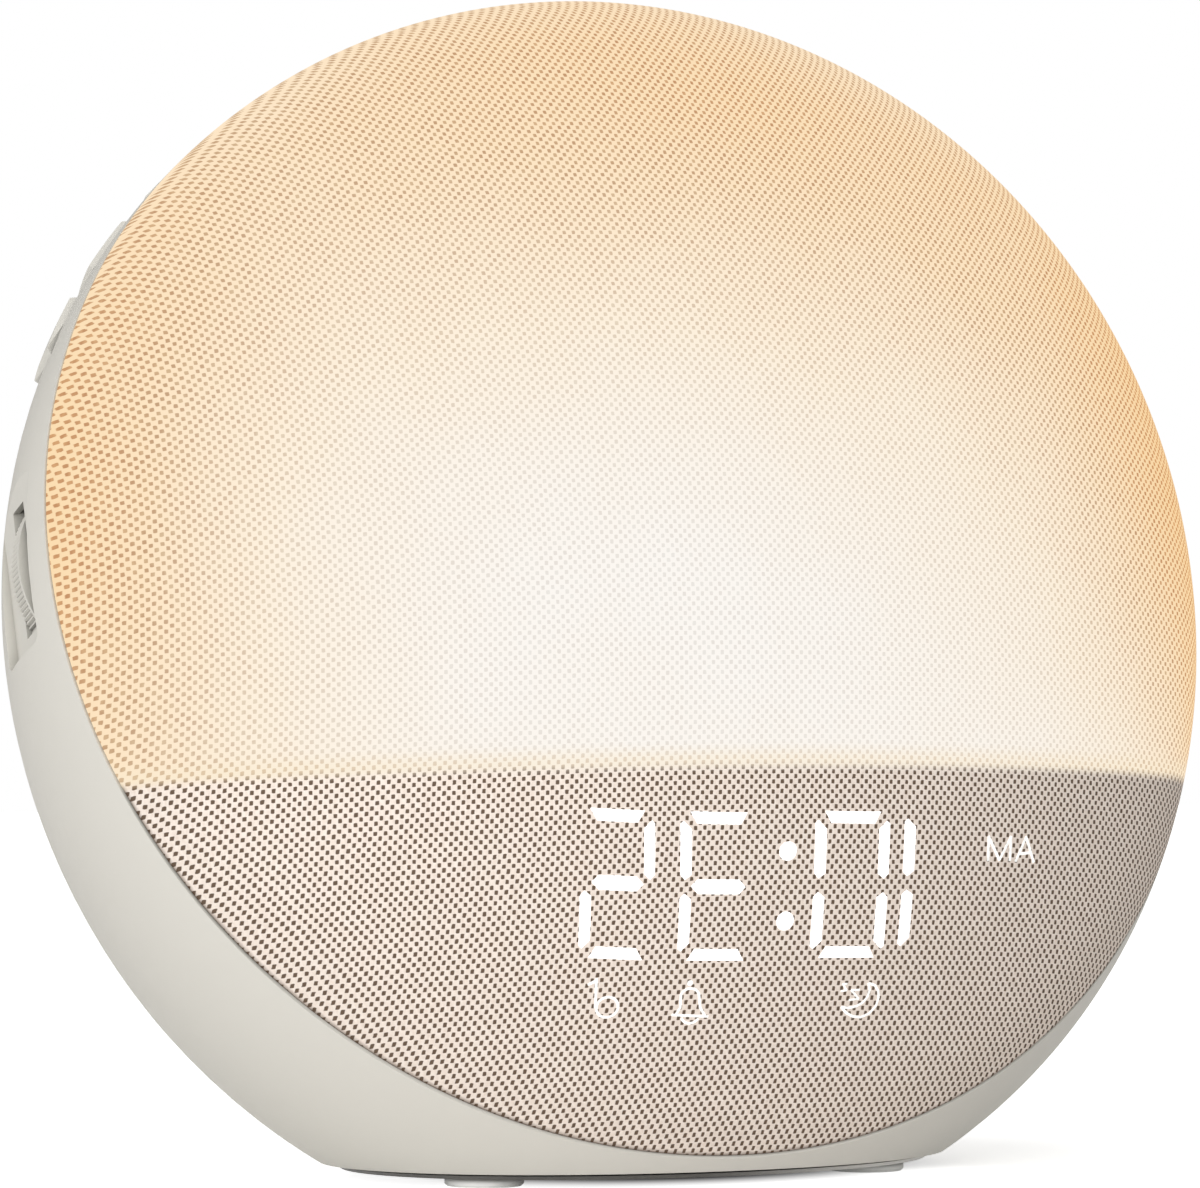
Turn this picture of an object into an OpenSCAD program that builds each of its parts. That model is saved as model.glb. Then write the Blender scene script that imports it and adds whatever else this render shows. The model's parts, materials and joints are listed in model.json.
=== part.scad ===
// Sunrise alarm clock: a leaning round body with a fabric-covered light dome in front,
// a clock display behind the lower fabric, and buttons and a thumbwheel on its left flank.
// Millimetres. +Z is up, the fabric faces -Y, the origin is on the ground under the body.

/* [Body] */
// Radius of the round face
body_r = 82.5; // [79:0.5:90]
// Half of the depth, from the centre to the front pole
half_depth = 51.6; // [50:0.2:56]
// Radius of the rounded rim between the front dome and the back dome
rim_r = 36.7; // [35.5:0.1:40]
// Backward lean of the round body in degrees
body_lean = 9.2; // [7:0.1:12]
// Height of the rim's bottom that the housing's flat underside cuts away
base_cut = 12.5; // [11:0.5:14]
// Wall of the rear housing
wall = 2.4; // [2:0.1:3]

/* [Seam between fabric and housing] */
// Backward lean of the seam plane in degrees
seam_lean = 20.4; // [18:0.1:22]
// Distance of the seam plane in front of the body centre
seam_offset = 9.8; // [8:0.1:12]
// Width of the shadow line at the seam
seam_gap = 0.25; // [0.15:0.05:0.6]
// Thickness of the woven fabric
fabric_t = 0.8; // [0.5:0.1:1.2]
// Thickness of the translucent dome under the fabric
dome_t = 2.2; // [1.6:0.1:2.6]
// Width of the stiff rim inside the dome's edge
dome_rim_w = 2.6; // [2:0.1:3.2]
// Height of the stiff rim
dome_rim_h = 3.2; // [2.4:0.1:4]

/* [Light] */
// Height of the light divider below the body centre
shelf_drop = 23.2; // [21:0.1:24]
// Upward slope of the light divider towards the front in degrees
shelf_slope = 4.3; // [2:0.1:7]
// Thickness of the light divider
shelf_t = 1.6; // [1.2:0.1:2]
// Spacing of the lamp chips
lamp_pitch = 17; // [15:0.5:20]
// Side of a square lamp chip
lamp_size = 5; // [3.5:0.5:5.5]

/* [Display] */
// Downward tilt of the display in degrees
display_tilt = 12; // [9:0.5:14]
// Height of the middle bar of the digits, along the display
display_mid = -22.9; // [-24:0.1:-22.5]
// Distance between the top bar and the bottom bar of a digit
digit_h = 17.2; // [15:0.1:17.6]
// Distance between the left bars and the right bars of a digit
digit_w = 8.7; // [8:0.1:9.4]
// Sideways lean of the digits, in millimetres for each millimetre of height
digit_slant = -0.0765; // [-0.12:0.0005:0]
// Distance between the two digits of a pair
digit_pitch = 12.8; // [12.2:0.1:13.4]
// Place of the colon across the face
colon_x = -0.2; // [-1:0.1:1]
// Distance from the colon to the middle of the next digit
colon_gap = 9.1; // [8.4:0.1:9.8]
// Thickness of a digit bar
bar_t = 1.6; // [1.2:0.1:1.9]
// Gap between the ends of neighbouring bars
bar_gap = 0.5; // [0.3:0.1:0.8]
// Radius of a colon dot
dot_r = 1.15; // [0.8:0.05:1.4]

/* [Buttons] */
// Angle of the middle button above the horizontal, seen from the front
button_angle = 37.6; // [35:0.1:39]
// Distance between neighbouring buttons
button_pitch = 13.9; // [13.2:0.1:14.4]
// Length of a button along the rim
button_l = 9.8; // [8.5:0.1:10]
// Width of a button from front to back
button_w = 8; // [6:0.1:9]
// Height of a button above the housing
button_proud = 0.75; // [0.6:0.05:1.2]
// Distance of the button centres behind the seam
button_back = 11.2; // [10.8:0.1:12]
// Travel of a button
button_travel = 0.5; // [0.3:0.05:0.7]
// Draft of a button's exposed sides in degrees
button_draft = 31; // [15:1:40]

/* [Thumbwheel] */
// Radius of the thumbwheel over its ribs
wheel_r = 15; // [14:0.1:15.4]
// Width of the thumbwheel
wheel_w = 3.4; // [3:0.1:3.8]
// Number of ribs
wheel_ribs = 140; // [100:1:150]
// Height of a rib
rib_h = 0.3; // [0.2:0.05:0.35]
// Distance of the wheel's middle plane behind the seam
wheel_back = 10.1; // [9.8:0.1:10.6]
// Distance of the wheel's axle inside the rim of the body
wheel_in = 15.5; // [15.1:0.1:15.9]
// Height of the wheel's axle in the seam plane
wheel_up = 5.1; // [4:0.1:6]
// Radius of the wheel's shaft
shaft_r = 3; // [2.5:0.1:3.5]
// Depth of the flat recess below the rim of the body
recess_in = 1.9; // [1.5:0.1:2.3]
// Width of the recess from front to back
recess_w = 12; // [11:0.1:13]
// Distance from the wheel's axle down to the recess's lower step
recess_below = 11; // [10.6:0.1:12]
// Length of the slot that the wheel stands in
slot_l = 17; // [16.6:0.1:18.4]

/* [Speaker] */
// Side of the square speaker flange
speaker_side = 41; // [38:1:42]
// Radius of the speaker's open front
speaker_r = 18; // [16:0.5:18.5]
// Depth of the speaker behind its flange
speaker_depth = 17; // [14:0.5:19]
// Height of the speaker above the middle of the back
speaker_up = 8; // [4:1:10]
// Distance of the speaker's seat inside the back pole
speaker_in = 8.2; // [7.8:0.1:8.8]
// Radius of one sound hole
sound_hole_r = 1.1; // [0.8:0.05:1.3]
// Distance between neighbouring sound holes
sound_hole_pitch = 3.7; // [3.2:0.1:3.9]
// Number of rings of sound holes around the middle one
sound_hole_rings = 4; // [2:1:4]

/* [Base] */
// Groove between the housing and the base cover
base_gap = 0.3; // [0.2:0.1:0.8]
// Thickness of the base cover's visible edge
base_edge_t = 0.5; // [0.4:0.1:1.4]
// Distance of the base cover's edge inside the body's skin
base_edge_inset = 0.7; // [0.5:0.1:1.5]
// Thickness of the base cover's plug inside the housing
plug_t = 2.7; // [2.4:0.1:3]
// Thickness of the housing's floor
floor_t = 2.2; // [1.8:0.1:2.8]
// Radius of a rubber foot
foot_r = 5; // [4.2:0.1:5.6]
// Height of a rubber foot below the base cover
foot_proud = 1.2; // [0.5:0.1:1.5]
// Distance of the feet's centres inside the side edges of the main board
foot_in = 3; // [2.5:0.1:4]
// Half of the distance between the feet from front to back
foot_y = 11.5; // [10.5:0.5:12]

/* [Power socket] */
// Radius of the round pocket around the socket
pocket_r = 6.5; // [6:0.1:7]
// Distance of the pocket's floor in front of the back pole
pocket_in = 27.6; // [26.6:0.1:28.1]
// Radius of the socket's nose
socket_nose_r = 3.9; // [3.6:0.1:4.2]
// Radius of the socket's bore
socket_bore_r = 2.8; // [2.6:0.1:3.1]
// Radius of the socket's centre pin
socket_pin_r = 1.05; // [0.8:0.05:1.2]

/* [Circuit boards and fasteners] */
// Thickness of a circuit board
board_t = 1.6; // [1:0.1:1.8]
// Width of the main board
main_board_w = 60; // [50:1:62]
// Depth of the main board
main_board_d = 40; // [37:1:41]
// Radius of the long housing screws' shanks
screw_r = 1.5; // [1.2:0.1:1.7]
// Radius of the long housing screws' heads
screw_head_r = 2.8; // [2.5:0.1:2.9]
// Distance of the housing screws inside the rim, towards the sides
screw_in_x = 32.5; // [30:0.5:36]
// Distance of the housing screws inside the rim, towards the top and bottom
screw_in_y = 48.5; // [46:0.5:52]
// Radius of the small screws' shanks
small_screw_r = 1.1; // [0.9:0.05:1.2]
// Radius of the small screws' heads
small_head_r = 2.1; // [1.9:0.1:2.3]

/* [Clearances] */
// Gap between layers that lie on each other
layer_gap = 0.12; // [0.08:0.02:0.2]
// Gap between fixed parts that fit into each other
fit_gap = 0.2; // [0.15:0.05:0.3]
// Gap around a moving button
button_gap = 0.3; // [0.25:0.05:0.4]
// Gap beside the turning wheel
wheel_gap = 0.4; // [0.3:0.1:0.6]
// Gap between a shaft or screw and its hole
bore_gap = 0.08; // [0.05:0.01:0.1]

/* [Hidden] */
// The body's outline is an oval of four tangent arcs: a front dome, a back dome and the rim.
rim_c = body_r - rim_r;
dome_r = (rim_c * rim_c + half_depth * half_depth - rim_r * rim_r) / (2 * (half_depth - rim_r));
dome_c = dome_r - half_depth;
tangent = [rim_c, dome_c] / norm([rim_c, dome_c]);
reach = 2 * body_r;
strip_t = 0.02;
body_fn = 96;
hole_fn = 32;
round_fn = 48;

// Heights, from the ground up
cover_edge_top = foot_proud + base_edge_t;
centre_h = cover_edge_top + base_gap + body_r - base_cut;
plug_top = cover_edge_top + plug_t;
floor_z = plug_top + layer_gap;
floor_top = floor_z + floor_t;
base_y = -rim_c * sin(body_lean);

// Layers of the front, as distances inside the body's skin
dome_out = fabric_t + layer_gap;
dome_in = dome_out + dome_t;
rim_in = dome_in + dome_rim_w;
spigot_out = rim_in + fit_gap;
spigot_t = 1.6;
spigot_in = spigot_out + spigot_t;
mask_out = dome_in + layer_gap;
mask_t = 0.8;
mask_in = mask_out + mask_t;
hem_s = seam_offset + seam_gap;
rim_top_s = hem_s + dome_rim_h;
spigot_top_s = rim_top_s + 1;
flange_back_s = seam_offset - 2;
plate_front_s = seam_offset - 1.2;
plate_t = 2;
plate_back_s = plate_front_s - plate_t;

// Lamps
lamp_board_s = plate_front_s;
lamp_s = lamp_board_s + board_t;
lamp_t = 1.4;
divider_lip = 9;
tray_out = spigot_in + fit_gap;
tray_s = lamp_s + layer_gap;
tray_t = 1;
lamp_low = -16;
lamp_row = lamp_pitch * 0.87;
lamp_rows = 6;
lamp_reach = body_r - 21;
lamps = [for (row = [0:lamp_rows - 1]) for (col = [-4:4])
    let (p = [col * lamp_pitch + (row % 2) * lamp_pitch / 2, lamp_low + row * lamp_row])
    if (norm(p) < lamp_reach) p];
lamp_screws = [[-2.5 * lamp_pitch, lamp_low + 2 * lamp_row], [2.5 * lamp_pitch, lamp_low + 2 * lamp_row],
    [0, lamp_low + 5 * lamp_row]];

// Display, in its own tilted plane: x across, y up along the display, z towards the fabric
lightbox_depth = 7.7;
display_back = dome_r - dome_c * cos(display_tilt + body_lean) - mask_in - layer_gap - lightbox_depth;
display_x0 = -33;
display_x1 = 41;
display_y0 = -43.5;
display_y1 = -10;
display_board_y1 = -15.2;
digit_half = digit_h / 2;
digits_x = [colon_x - colon_gap - digit_pitch, colon_x - colon_gap,
    colon_x + colon_gap, colon_x + colon_gap + digit_pitch];
segment_led = [1.2, 0.8, 0.6];
icon_back = display_back + 3;
icon_y = -38;
note_x = -22;
bell_x = -10.8;
moon_x = 12.4;
meridiem_x = 33.8;
meridiem_y = -19.9;
stroke = 0.6;
display_leg = 6;
display_turn = seam_lean + display_tilt;
display_screw_l = 5.6;
display_legs = [display_mid, icon_y + 0.6];
driver = [18, 8, 1.6];
driver_x = 4;
driver_y = display_mid - 10;

// Buttons, in a frame turned to the middle button: x outward, y along the rim, z forward
buttons = [-1, 0, 1];
button_s = seam_offset - button_back;
lean_between = seam_lean - body_lean;
flange_gap = 0.3;
flange_t = 1;
flange_lip = 0.6;
button_corner_r = 0.6;
button_post_r = 2;
switch_rise = 0.7;
switch_h = 2;
switch_side = 4.5;
plunger_r = 1.3;
plunger_in = 7.9;
plunger_top_x = body_r - plunger_in;
switch_top_x = plunger_top_x - switch_rise;
switch_foot_x = switch_top_x - switch_h;
button_board_t = 1.2;
button_board_back = switch_foot_x - button_board_t;
button_board_l = 2 * button_pitch + 10;
button_board_w = 12;
bracket_t = 1.6;
bracket_back = button_board_back - bracket_t;
tab_l = 8.8;
tab_w = 9;
tab_at = button_board_l / 2 - tab_w / 2;

// Thumbwheel, in the seam plane's frame
wheel_s = seam_offset - wheel_back;
wheel_x = body_r - wheel_in;
recess_x = body_r - recess_in;
slot_w = wheel_w + 2 * wheel_gap;
wheel_edge_t = 0.5;
slot_up = 0.5;
recess_top = 24;
recess_round = 1.5;
recess_front = 5.5;
recess_pad_t = 2.2;
encoder_t = 4.6;
encoder_side = 12;
encoder_front = -wheel_w / 2 - 2.4;
encoder_back = encoder_front - encoder_t;
encoder_board = [18, 20];
encoder_board_x = 2;
bearing_r = shaft_r + 1.6;
bearing_l = 4.2;
wheel_wall_x = wheel_r + 1.6;
wheel_foot = 8;
wheel_screw_x = wheel_wall_x + 4.6;
wheel_screw_y = 6;

// Speaker, in a frame behind the body centre: z straight back
speaker_seat = half_depth - speaker_in;
gasket_t = 1;
speaker_flange_t = 1.2;
speaker_frame_back = speaker_seat - gasket_t - 2 * layer_gap;
speaker_flange_front = speaker_frame_back - speaker_flange_t;
speaker_screw_at = speaker_side / 2 - 3;
magnet_r = 11;
magnet_t = 6;
magnet_front = speaker_frame_back - speaker_depth;
basket_plate = magnet_front + magnet_t;
basket_t = 1;
cone_t = 0.6;
cone_r = speaker_r - 3.4;
cone_z = speaker_frame_back - cone_t - 0.7;
surround_r = 1.3;
cap_r = 5;
cap_seat = basket_plate + 4;
cap_top = basket_plate + 5.6;

// Base, main board and socket
boss_r = 3.3;
foot_x = main_board_w / 2 - foot_in;
pocket = [foot_x + 10.6, foot_y + 11.4];
opening = [2 * (foot_x - boss_r) - 2.4, 29];
opening_round = 6;
foot_recess = 0.8;
base_head_t = 1.3;
board_rise = 6.4;
main_board_z = floor_top + board_rise;
main_board_y = -2;
boss_top = main_board_z - layer_gap;
socket_body = [9, 14, 8.4];
pocket_y = half_depth - pocket_in;
socket_z = main_board_z + board_t + layer_gap + socket_body[2] / 2;
socket_front = pocket_y - 2 - layer_gap;
pocket_wall = 2;
socket_nose = 3.4;
screw_x = body_r - screw_in_x;
screw_y = body_r - screw_in_y;
column_r = 5.1;
column_floor = 2.6;
boss_l = 7;
column_top = plate_back_s - boss_l - layer_gap;
screw_head_t = 1.9;
screw_l = column_floor + 6;
base_screw_l = 5.4;
small_head_t = 1.2;
screw_bite = 3.4;
speaker_bite = 2.4;
socket_clear = socket_front - socket_body[1] - main_board_y;
chips = [[-12, socket_clear - 16, 12, 12, 1.6], [8, socket_clear - 18, 7, 5, 1.5],
    [8, socket_clear - 8, 5, 4, 1.5]];
tall_parts = [[-18, 12, 4], [-8, 14, 3.15], [18, 12, 4]];
tall_ratio = 2.6;
cell_r = 10;
cell_t = 3.2;
cell_step = 0.3;
cell_cap_r = cell_r - 1.6;
cell_wall = 1.4;
cell_floor = 1;
holder_h = cell_t + cell_floor + fit_gap;
socket_core = 30;

// ---- Frames ---------------------------------------------------------------------------

// Frame of the body: z along the body's short axis towards the front, y up
module body_frame() translate([0, 0, centre_h]) rotate([90 - body_lean, 0, 0]) children();

// Frame of the seam: z square to the seam plane towards the front, y up
module seam_frame() translate([0, 0, centre_h]) rotate([90 - seam_lean, 0, 0]) children();

// Frame of the display: z square to the display towards the front, y up
module display_frame() translate([0, 0, centre_h]) rotate([90 + display_tilt, 0, 0]) children();

// Frame of the light divider: z up through the shelf, its top face at z = 0
module shelf_frame() translate([0, 0, centre_h - shelf_drop]) rotate([-shelf_slope, 0, 0]) children();

// Frame of the buttons: x outward through the middle button, z towards the front
module button_frame() seam_frame() rotate([0, 0, 180 - button_angle]) translate([0, 0, button_s]) children();

// Frame of the wheel: z along its axle towards the front, origin in its middle
module wheel_frame() seam_frame() translate([-wheel_x, wheel_up, wheel_s]) children();

// Frame of the speaker: z straight back through the speaker
module speaker_frame() body_frame() translate([0, speaker_up, 0]) rotate([0, 180, 0]) children();

// ---- Shared shapes --------------------------------------------------------------------

module dome_sector(inset) intersection() {
    translate([0, -dome_c]) circle(r = dome_r - inset, $fn = 2 * body_fn);
    polygon([[0, 0], [rim_c, 0], [rim_c, 0] + reach * tangent, [0, reach]]);
}

module rim_sector(inset) intersection() {
    translate([rim_c, 0]) circle(r = rim_r - inset, $fn = body_fn);
    polygon([[rim_c, 0], [rim_c, 0] + reach * tangent, [rim_c + reach * tangent[0], -reach * tangent[1]]]);
}

// A strip inside the outline that holds a dome sector and the rim sector together
module sector_strip(inset) polygon([for (e = [[0, -1], [0, 1], [1, 1], [1, -1]])
    [rim_c, 0] + e[0] * (rim_r - inset - strip_t) * tangent + e[1] * strip_t / 2 * [-tangent[1], tangent[0]]]);

// The whole body, drawn in by an inset on all sides
module oval_body(inset = 0) body_frame() rotate_extrude($fn = body_fn) {
    rim_sector(inset);
    for (side = [0, 1]) mirror([0, side]) {
        dome_sector(inset);
        sector_strip(inset);
    }
}

module oval_shell(outer, inner) difference() {
    oval_body(outer);
    oval_body(inner);
}

module seam_slab(from, to) seam_frame() translate([-reach, -reach, from]) cube([2 * reach, 2 * reach, to - from]);

// The body, drawn in by an inset, in front of a plane parallel to the seam
module front_part(inset, from) intersection() {
    oval_body(inset);
    seam_slab(from, reach);
}

module level_slab(from, to) translate([-reach, -reach, from]) cube([2 * reach, 2 * reach, to - from]);

module above_shelf(gap) shelf_frame() translate([-reach, -reach, gap]) cube(2 * reach);

module below_shelf(gap) shelf_frame() translate([-reach, -reach, -2 * reach - shelf_t - gap]) cube(2 * reach);

module rounded(w, h, r) union() {
    square([w - 2 * r, h], center = true);
    square([w, h - 2 * r], center = true);
    for (x = [-1, 1]) for (y = [-1, 1])
        translate([x * (w / 2 - r), y * (h / 2 - r)]) circle(r = r, $fn = hole_fn);
}

// A pan-head screw that points along -z, with the underside of its head at z = 0
module screw(shank_r, head_r, head_t, length) {
    translate([0, 0, -length]) cylinder(r = shank_r, h = length + head_t / 2, $fn = hole_fn);
    difference() {
        cylinder(r = head_r, h = head_t, $fn = hole_fn);
        for (a = [0, 90]) rotate([0, 0, a]) translate([-head_r * 0.6, -0.3, head_t * 0.55])
            cube([head_r * 1.2, 0.6, head_t]);
    }
}

// ---- Front: fabric, dome, frame and light -----------------------------------------------

// The fabric is stretched over the dome and glued down to its edge.
module fabric_cover() color("#ecd9c4") difference() {
    front_part(0, hem_s);
    oval_body(fabric_t);
}

module diffuser_dome() color("#fbf7ee") difference() {
    front_part(dome_out, hem_s);
    oval_body(dome_in);
}

// A stiff ring is bonded inside the dome's edge and slides over the frame's rim.
module dome_rim() color("#efece4") difference() {
    intersection() {
        oval_body(dome_in + layer_gap);
        seam_slab(hem_s, rim_top_s);
    }
    oval_body(rim_in);
}

// Places of the columns that take the long housing screws, on the plate's back
module at_housing_screws() seam_frame() for (x = [-1, 1]) for (y = [-1, 1])
    translate([x * screw_x, y * screw_y, plate_back_s]) children();

// Places of the screws that hold the button and wheel brackets, on the plate's back
module at_bracket_screws() {
    for (y = [-1, 1]) button_frame() translate([bracket_back - tab_l / 2, y * tab_at, plate_back_s - button_s]) children();
    for (y = [-1, 1]) wheel_frame() translate([wheel_screw_x, y * wheel_screw_y, plate_back_s - wheel_s]) children();
}

// The plate that everything hangs on: it holds the dome's edge, the lamps and the display.
module mid_frame() color("#e9e6df") difference() {
    union() {
        difference() {
            union() {
                intersection() {
                    oval_body(wall + fit_gap);
                    seam_slab(flange_back_s, hem_s - layer_gap);
                }
                intersection() {
                    oval_body(spigot_out);
                    seam_slab(plate_back_s, spigot_top_s);
                }
            }
            front_part(spigot_in, plate_front_s);
        }
        at_housing_screws() translate([0, 0, -boss_l]) cylinder(r = column_r - 1, h = boss_l + plate_t / 2, $fn = round_fn);
        wheel_frame() translate([0, 0, plate_back_s - wheel_s - bearing_l])
            cylinder(r = bearing_r, h = bearing_l + plate_t / 2, $fn = round_fn);
        display_posts(display_leg);
    }
    level_slab(-1, floor_top + fit_gap);
    at_housing_screws() translate([0, 0, -boss_l - 1]) cylinder(r = screw_r + bore_gap, h = boss_l + 1.8, $fn = hole_fn);
    wheel_frame() translate([0, 0, plate_back_s - wheel_s - bearing_l - 1])
        cylinder(r = shaft_r + bore_gap, h = bearing_l + 1, $fn = round_fn);
    at_display_screws() translate([0, 0, -display_screw_l - 0.4])
        cylinder(r = small_screw_r + bore_gap, h = display_screw_l + 1.4, $fn = hole_fn);
    at_lamp_screws() translate([0, 0, -board_t - plate_t - 1])
        cylinder(r = small_screw_r + bore_gap, h = plate_t + 2, $fn = hole_fn);
    at_bracket_screws() translate([0, 0, -1]) cylinder(r = small_screw_r + bore_gap, h = plate_t + 2, $fn = hole_fn);
    seam_frame() translate([0, -8, plate_back_s - 1]) linear_extrude(plate_t + 2) rounded(18, 6, 2.5);
}

// Height in the seam's frame of a point at height y on the back of the display board
function post_w(y) = y * cos(display_turn) - (display_back - board_t) * sin(display_turn);

// Two posts carry the display board in front of the plate.
module display_posts(side) intersection() {
    seam_frame() for (y = display_legs) translate([colon_x - side / 2, post_w(y) - side / 2, plate_back_s + plate_t / 2])
        cube([side, side, reach]);
    display_frame() translate([-reach, -reach, -reach])
        cube([2 * reach, 2 * reach, reach + display_back - board_t - 2 * layer_gap]);
}

// The room in front of the plate: inside the dome, and inside the frame's rim where that stands
module front_room(inset) {
    intersection() {
        oval_body(inset);
        seam_slab(spigot_top_s + fit_gap, reach);
    }
    intersection() {
        oval_body(spigot_in + fit_gap);
        seam_slab(plate_front_s + layer_gap, reach);
    }
}

// The divider separates the lamps from the display and follows the dome's inside.
module light_divider() color("#f4f2ec") union() {
    intersection() {
        shelf_frame() translate([-reach, -reach, -shelf_t]) cube([2 * reach, 2 * reach, shelf_t]);
        front_room(dome_in + fit_gap);
    }
    intersection() {
        oval_body(spigot_in + fit_gap);
        seam_slab(plate_front_s + layer_gap, plate_front_s + layer_gap + shelf_t);
        shelf_frame() translate([-reach, -reach, -divider_lip]) cube([2 * reach, 2 * reach, divider_lip - shelf_t / 2]);
    }
}

module lamp_zone(inset) intersection() {
    oval_body(inset);
    above_shelf(fit_gap);
}

// Places of the screws that hold the lamp board, on its front
module at_lamp_screws() seam_frame() for (p = lamp_screws) translate([p[0], p[1], lamp_s]) children();

// A white sheet around the lamp chips throws stray light forward.
module reflector_sheet() color("white") difference() {
    intersection() {
        lamp_zone(tray_out);
        seam_slab(tray_s, tray_s + tray_t);
    }
    seam_frame() for (p = lamps) translate([p[0], p[1], tray_s + tray_t / 2])
        cube([lamp_size + 2 * fit_gap, lamp_size + 2 * fit_gap, 2 * tray_t], center = true);
    at_lamp_screws() cylinder(r = small_head_r + fit_gap, h = tray_t + 2, $fn = hole_fn);
}

module led_board() color("#f2f4f0") difference() {
    intersection() {
        lamp_zone(tray_out);
        seam_slab(lamp_board_s + layer_gap, lamp_s);
    }
    at_lamp_screws() translate([0, 0, -board_t - 1]) cylinder(r = small_screw_r + bore_gap, h = board_t + 2, $fn = hole_fn);
}

module led_chips() color("#f7e7a8") seam_frame() for (p = lamps) translate([p[0], p[1], lamp_s])
    difference() {
        translate([-lamp_size / 2, -lamp_size / 2, 0]) cube([lamp_size, lamp_size, lamp_t]);
        translate([0, 0, lamp_t - 0.3]) cylinder(r = lamp_size * 0.36, h = 1, $fn = hole_fn);
    }

module lamp_board_screws() color("silver") at_lamp_screws()
    screw(small_screw_r, small_head_r, small_head_t, board_t + plate_t);

// ---- Display ----------------------------------------------------------------------------

function slanted(p) = [p[0] + digit_slant * p[1], p[1]];

// One flat bar of a digit around the point c, along x (turn = 0) or along y (turn = 1)
module bar(c, length, turn, extra) polygon([for (p = [
    [-length / 2 - extra, 0], [-length / 2 + bar_t / 2, bar_t / 2 + extra],
    [length / 2 - bar_t / 2, bar_t / 2 + extra], [length / 2 + extra, 0],
    [length / 2 - bar_t / 2, -bar_t / 2 - extra], [-length / 2 + bar_t / 2, -bar_t / 2 - extra]])
    slanted(c + (turn == 0 ? p : [p[1], -p[0]]))]);

// The seven bars of one digit around its middle, each grown by extra
module digit(extra) {
    for (y = [-1, 0, 1]) bar([0, y * digit_half], digit_w - 2 * bar_gap, 0, extra);
    for (x = [-1, 1]) for (y = [-1, 1])
        bar([x * digit_w / 2, y * digit_half / 2], digit_half - 2 * bar_gap, 1, extra);
}

module all_digits(extra) for (x = digits_x) translate([x, display_mid]) digit(extra);

module ring(r, t, extra) difference() {
    circle(r = r + t / 2 + extra, $fn = hole_fn);
    circle(r = r - t / 2 - extra, $fn = hole_fn);
}

// A straight stroke between two points
module line(a, b, t) translate((a + b) / 2) rotate([0, 0, atan2(b[1] - a[1], b[0] - a[0])])
    square([norm(b - a) + t, t], center = true);

module note_icon(extra) {
    translate([0.5, -0.6]) ring(1.4, stroke, extra);
    line([-0.9, -0.6], [-1.7, 3.1], stroke + 2 * extra);
}

module bell_icon(extra) {
    line([-2.3, -1.5], [2.3, -1.5], stroke + 2 * extra);
    line([-1.5, -1.5], [-1.1, 1.4], stroke + 2 * extra);
    line([1.5, -1.5], [1.1, 1.4], stroke + 2 * extra);
    line([-1.1, 1.4], [1.1, 1.4], stroke + 2 * extra);
    translate([0, 2.8]) circle(r = 0.5 + extra, $fn = hole_fn);
}

module moon_icon(extra) difference() {
    circle(r = 2.4 + extra, $fn = round_fn);
    translate([-1.2, 1]) circle(r = 2 - extra, $fn = round_fn);
}

// The mark for the half of the day: two plain capital letters built from strokes
module meridiem_icon(extra) {
    for (x = [-3.9, -0.5]) line([x, -1.6], [x, 1.6], stroke + 2 * extra);
    line([-3.9, 1.6], [-2.2, -0.6], stroke + 2 * extra);
    line([-0.5, 1.6], [-2.2, -0.6], stroke + 2 * extra);
    line([1, -1.6], [2.5, 1.6], stroke + 2 * extra);
    line([4, -1.6], [2.5, 1.6], stroke + 2 * extra);
    line([1.6, -0.5], [3.4, -0.5], stroke + 2 * extra);
}

module all_icons(extra) {
    for (y = [-1, 1]) translate(slanted([0, y * digit_half / 2]) + [colon_x, display_mid])
        circle(r = dot_r + extra, $fn = hole_fn);
    translate([note_x, icon_y]) note_icon(extra);
    translate([bell_x, icon_y]) bell_icon(extra);
    translate([moon_x, icon_y]) moon_icon(extra);
    translate([meridiem_x, meridiem_y]) meridiem_icon(extra);
}

module display_column(from) display_frame() translate([0, 0, from]) linear_extrude(reach) children();

// A dark film behind the dome with an opening for each bar and mark
module display_mask() color("#3a3633") difference() {
    intersection() {
        oval_shell(mask_out, mask_in);
        below_shelf(fit_gap);
        seam_slab(spigot_top_s + fit_gap, reach);
    }
    display_column(display_back) all_digits(fit_gap);
    display_column(display_back) all_icons(fit_gap);
}

// Places of the two screws of the display board, on its front
module at_display_screws() display_frame() for (y = display_legs)
    translate([colon_x, y, display_back - layer_gap]) children();

// The light guide: its face follows the dome, and each bar has its own well.
module display_lightbox() color("#f0efec") difference() {
    intersection() {
        front_room(mask_in + layer_gap);
        below_shelf(fit_gap);
        display_frame() translate([display_x0, display_y0, display_back])
            cube([display_x1 - display_x0, display_y1 - display_y0, reach]);
    }
    display_column(display_back - 1) all_digits(fit_gap);
    display_column(icon_back) all_icons(fit_gap);
    at_display_screws() cylinder(r = small_head_r + fit_gap, h = small_head_t + 0.5, $fn = hole_fn);
}

module display_segments() color("white") intersection() {
    oval_body(mask_out);
    display_column(display_back + segment_led[2] + fit_gap) all_digits(0);
}

module display_icons() color("white") intersection() {
    oval_body(mask_out);
    display_column(icon_back + fit_gap) all_icons(0);
}

module display_board() color("#27573b") difference() {
    intersection() {
        front_room(mask_in + fit_gap);
        display_frame() translate([display_x0, display_y0 + 1, display_back - layer_gap - board_t])
            cube([display_x1 - display_x0, display_board_y1 - display_y0 - 1, board_t]);
    }
    at_display_screws() translate([0, 0, -board_t - 1])
        cylinder(r = small_screw_r + bore_gap, h = board_t + 2, $fn = hole_fn);
}

module display_screws() color("silver") at_display_screws()
    screw(small_screw_r, small_head_r, small_head_t, display_screw_l);

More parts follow.
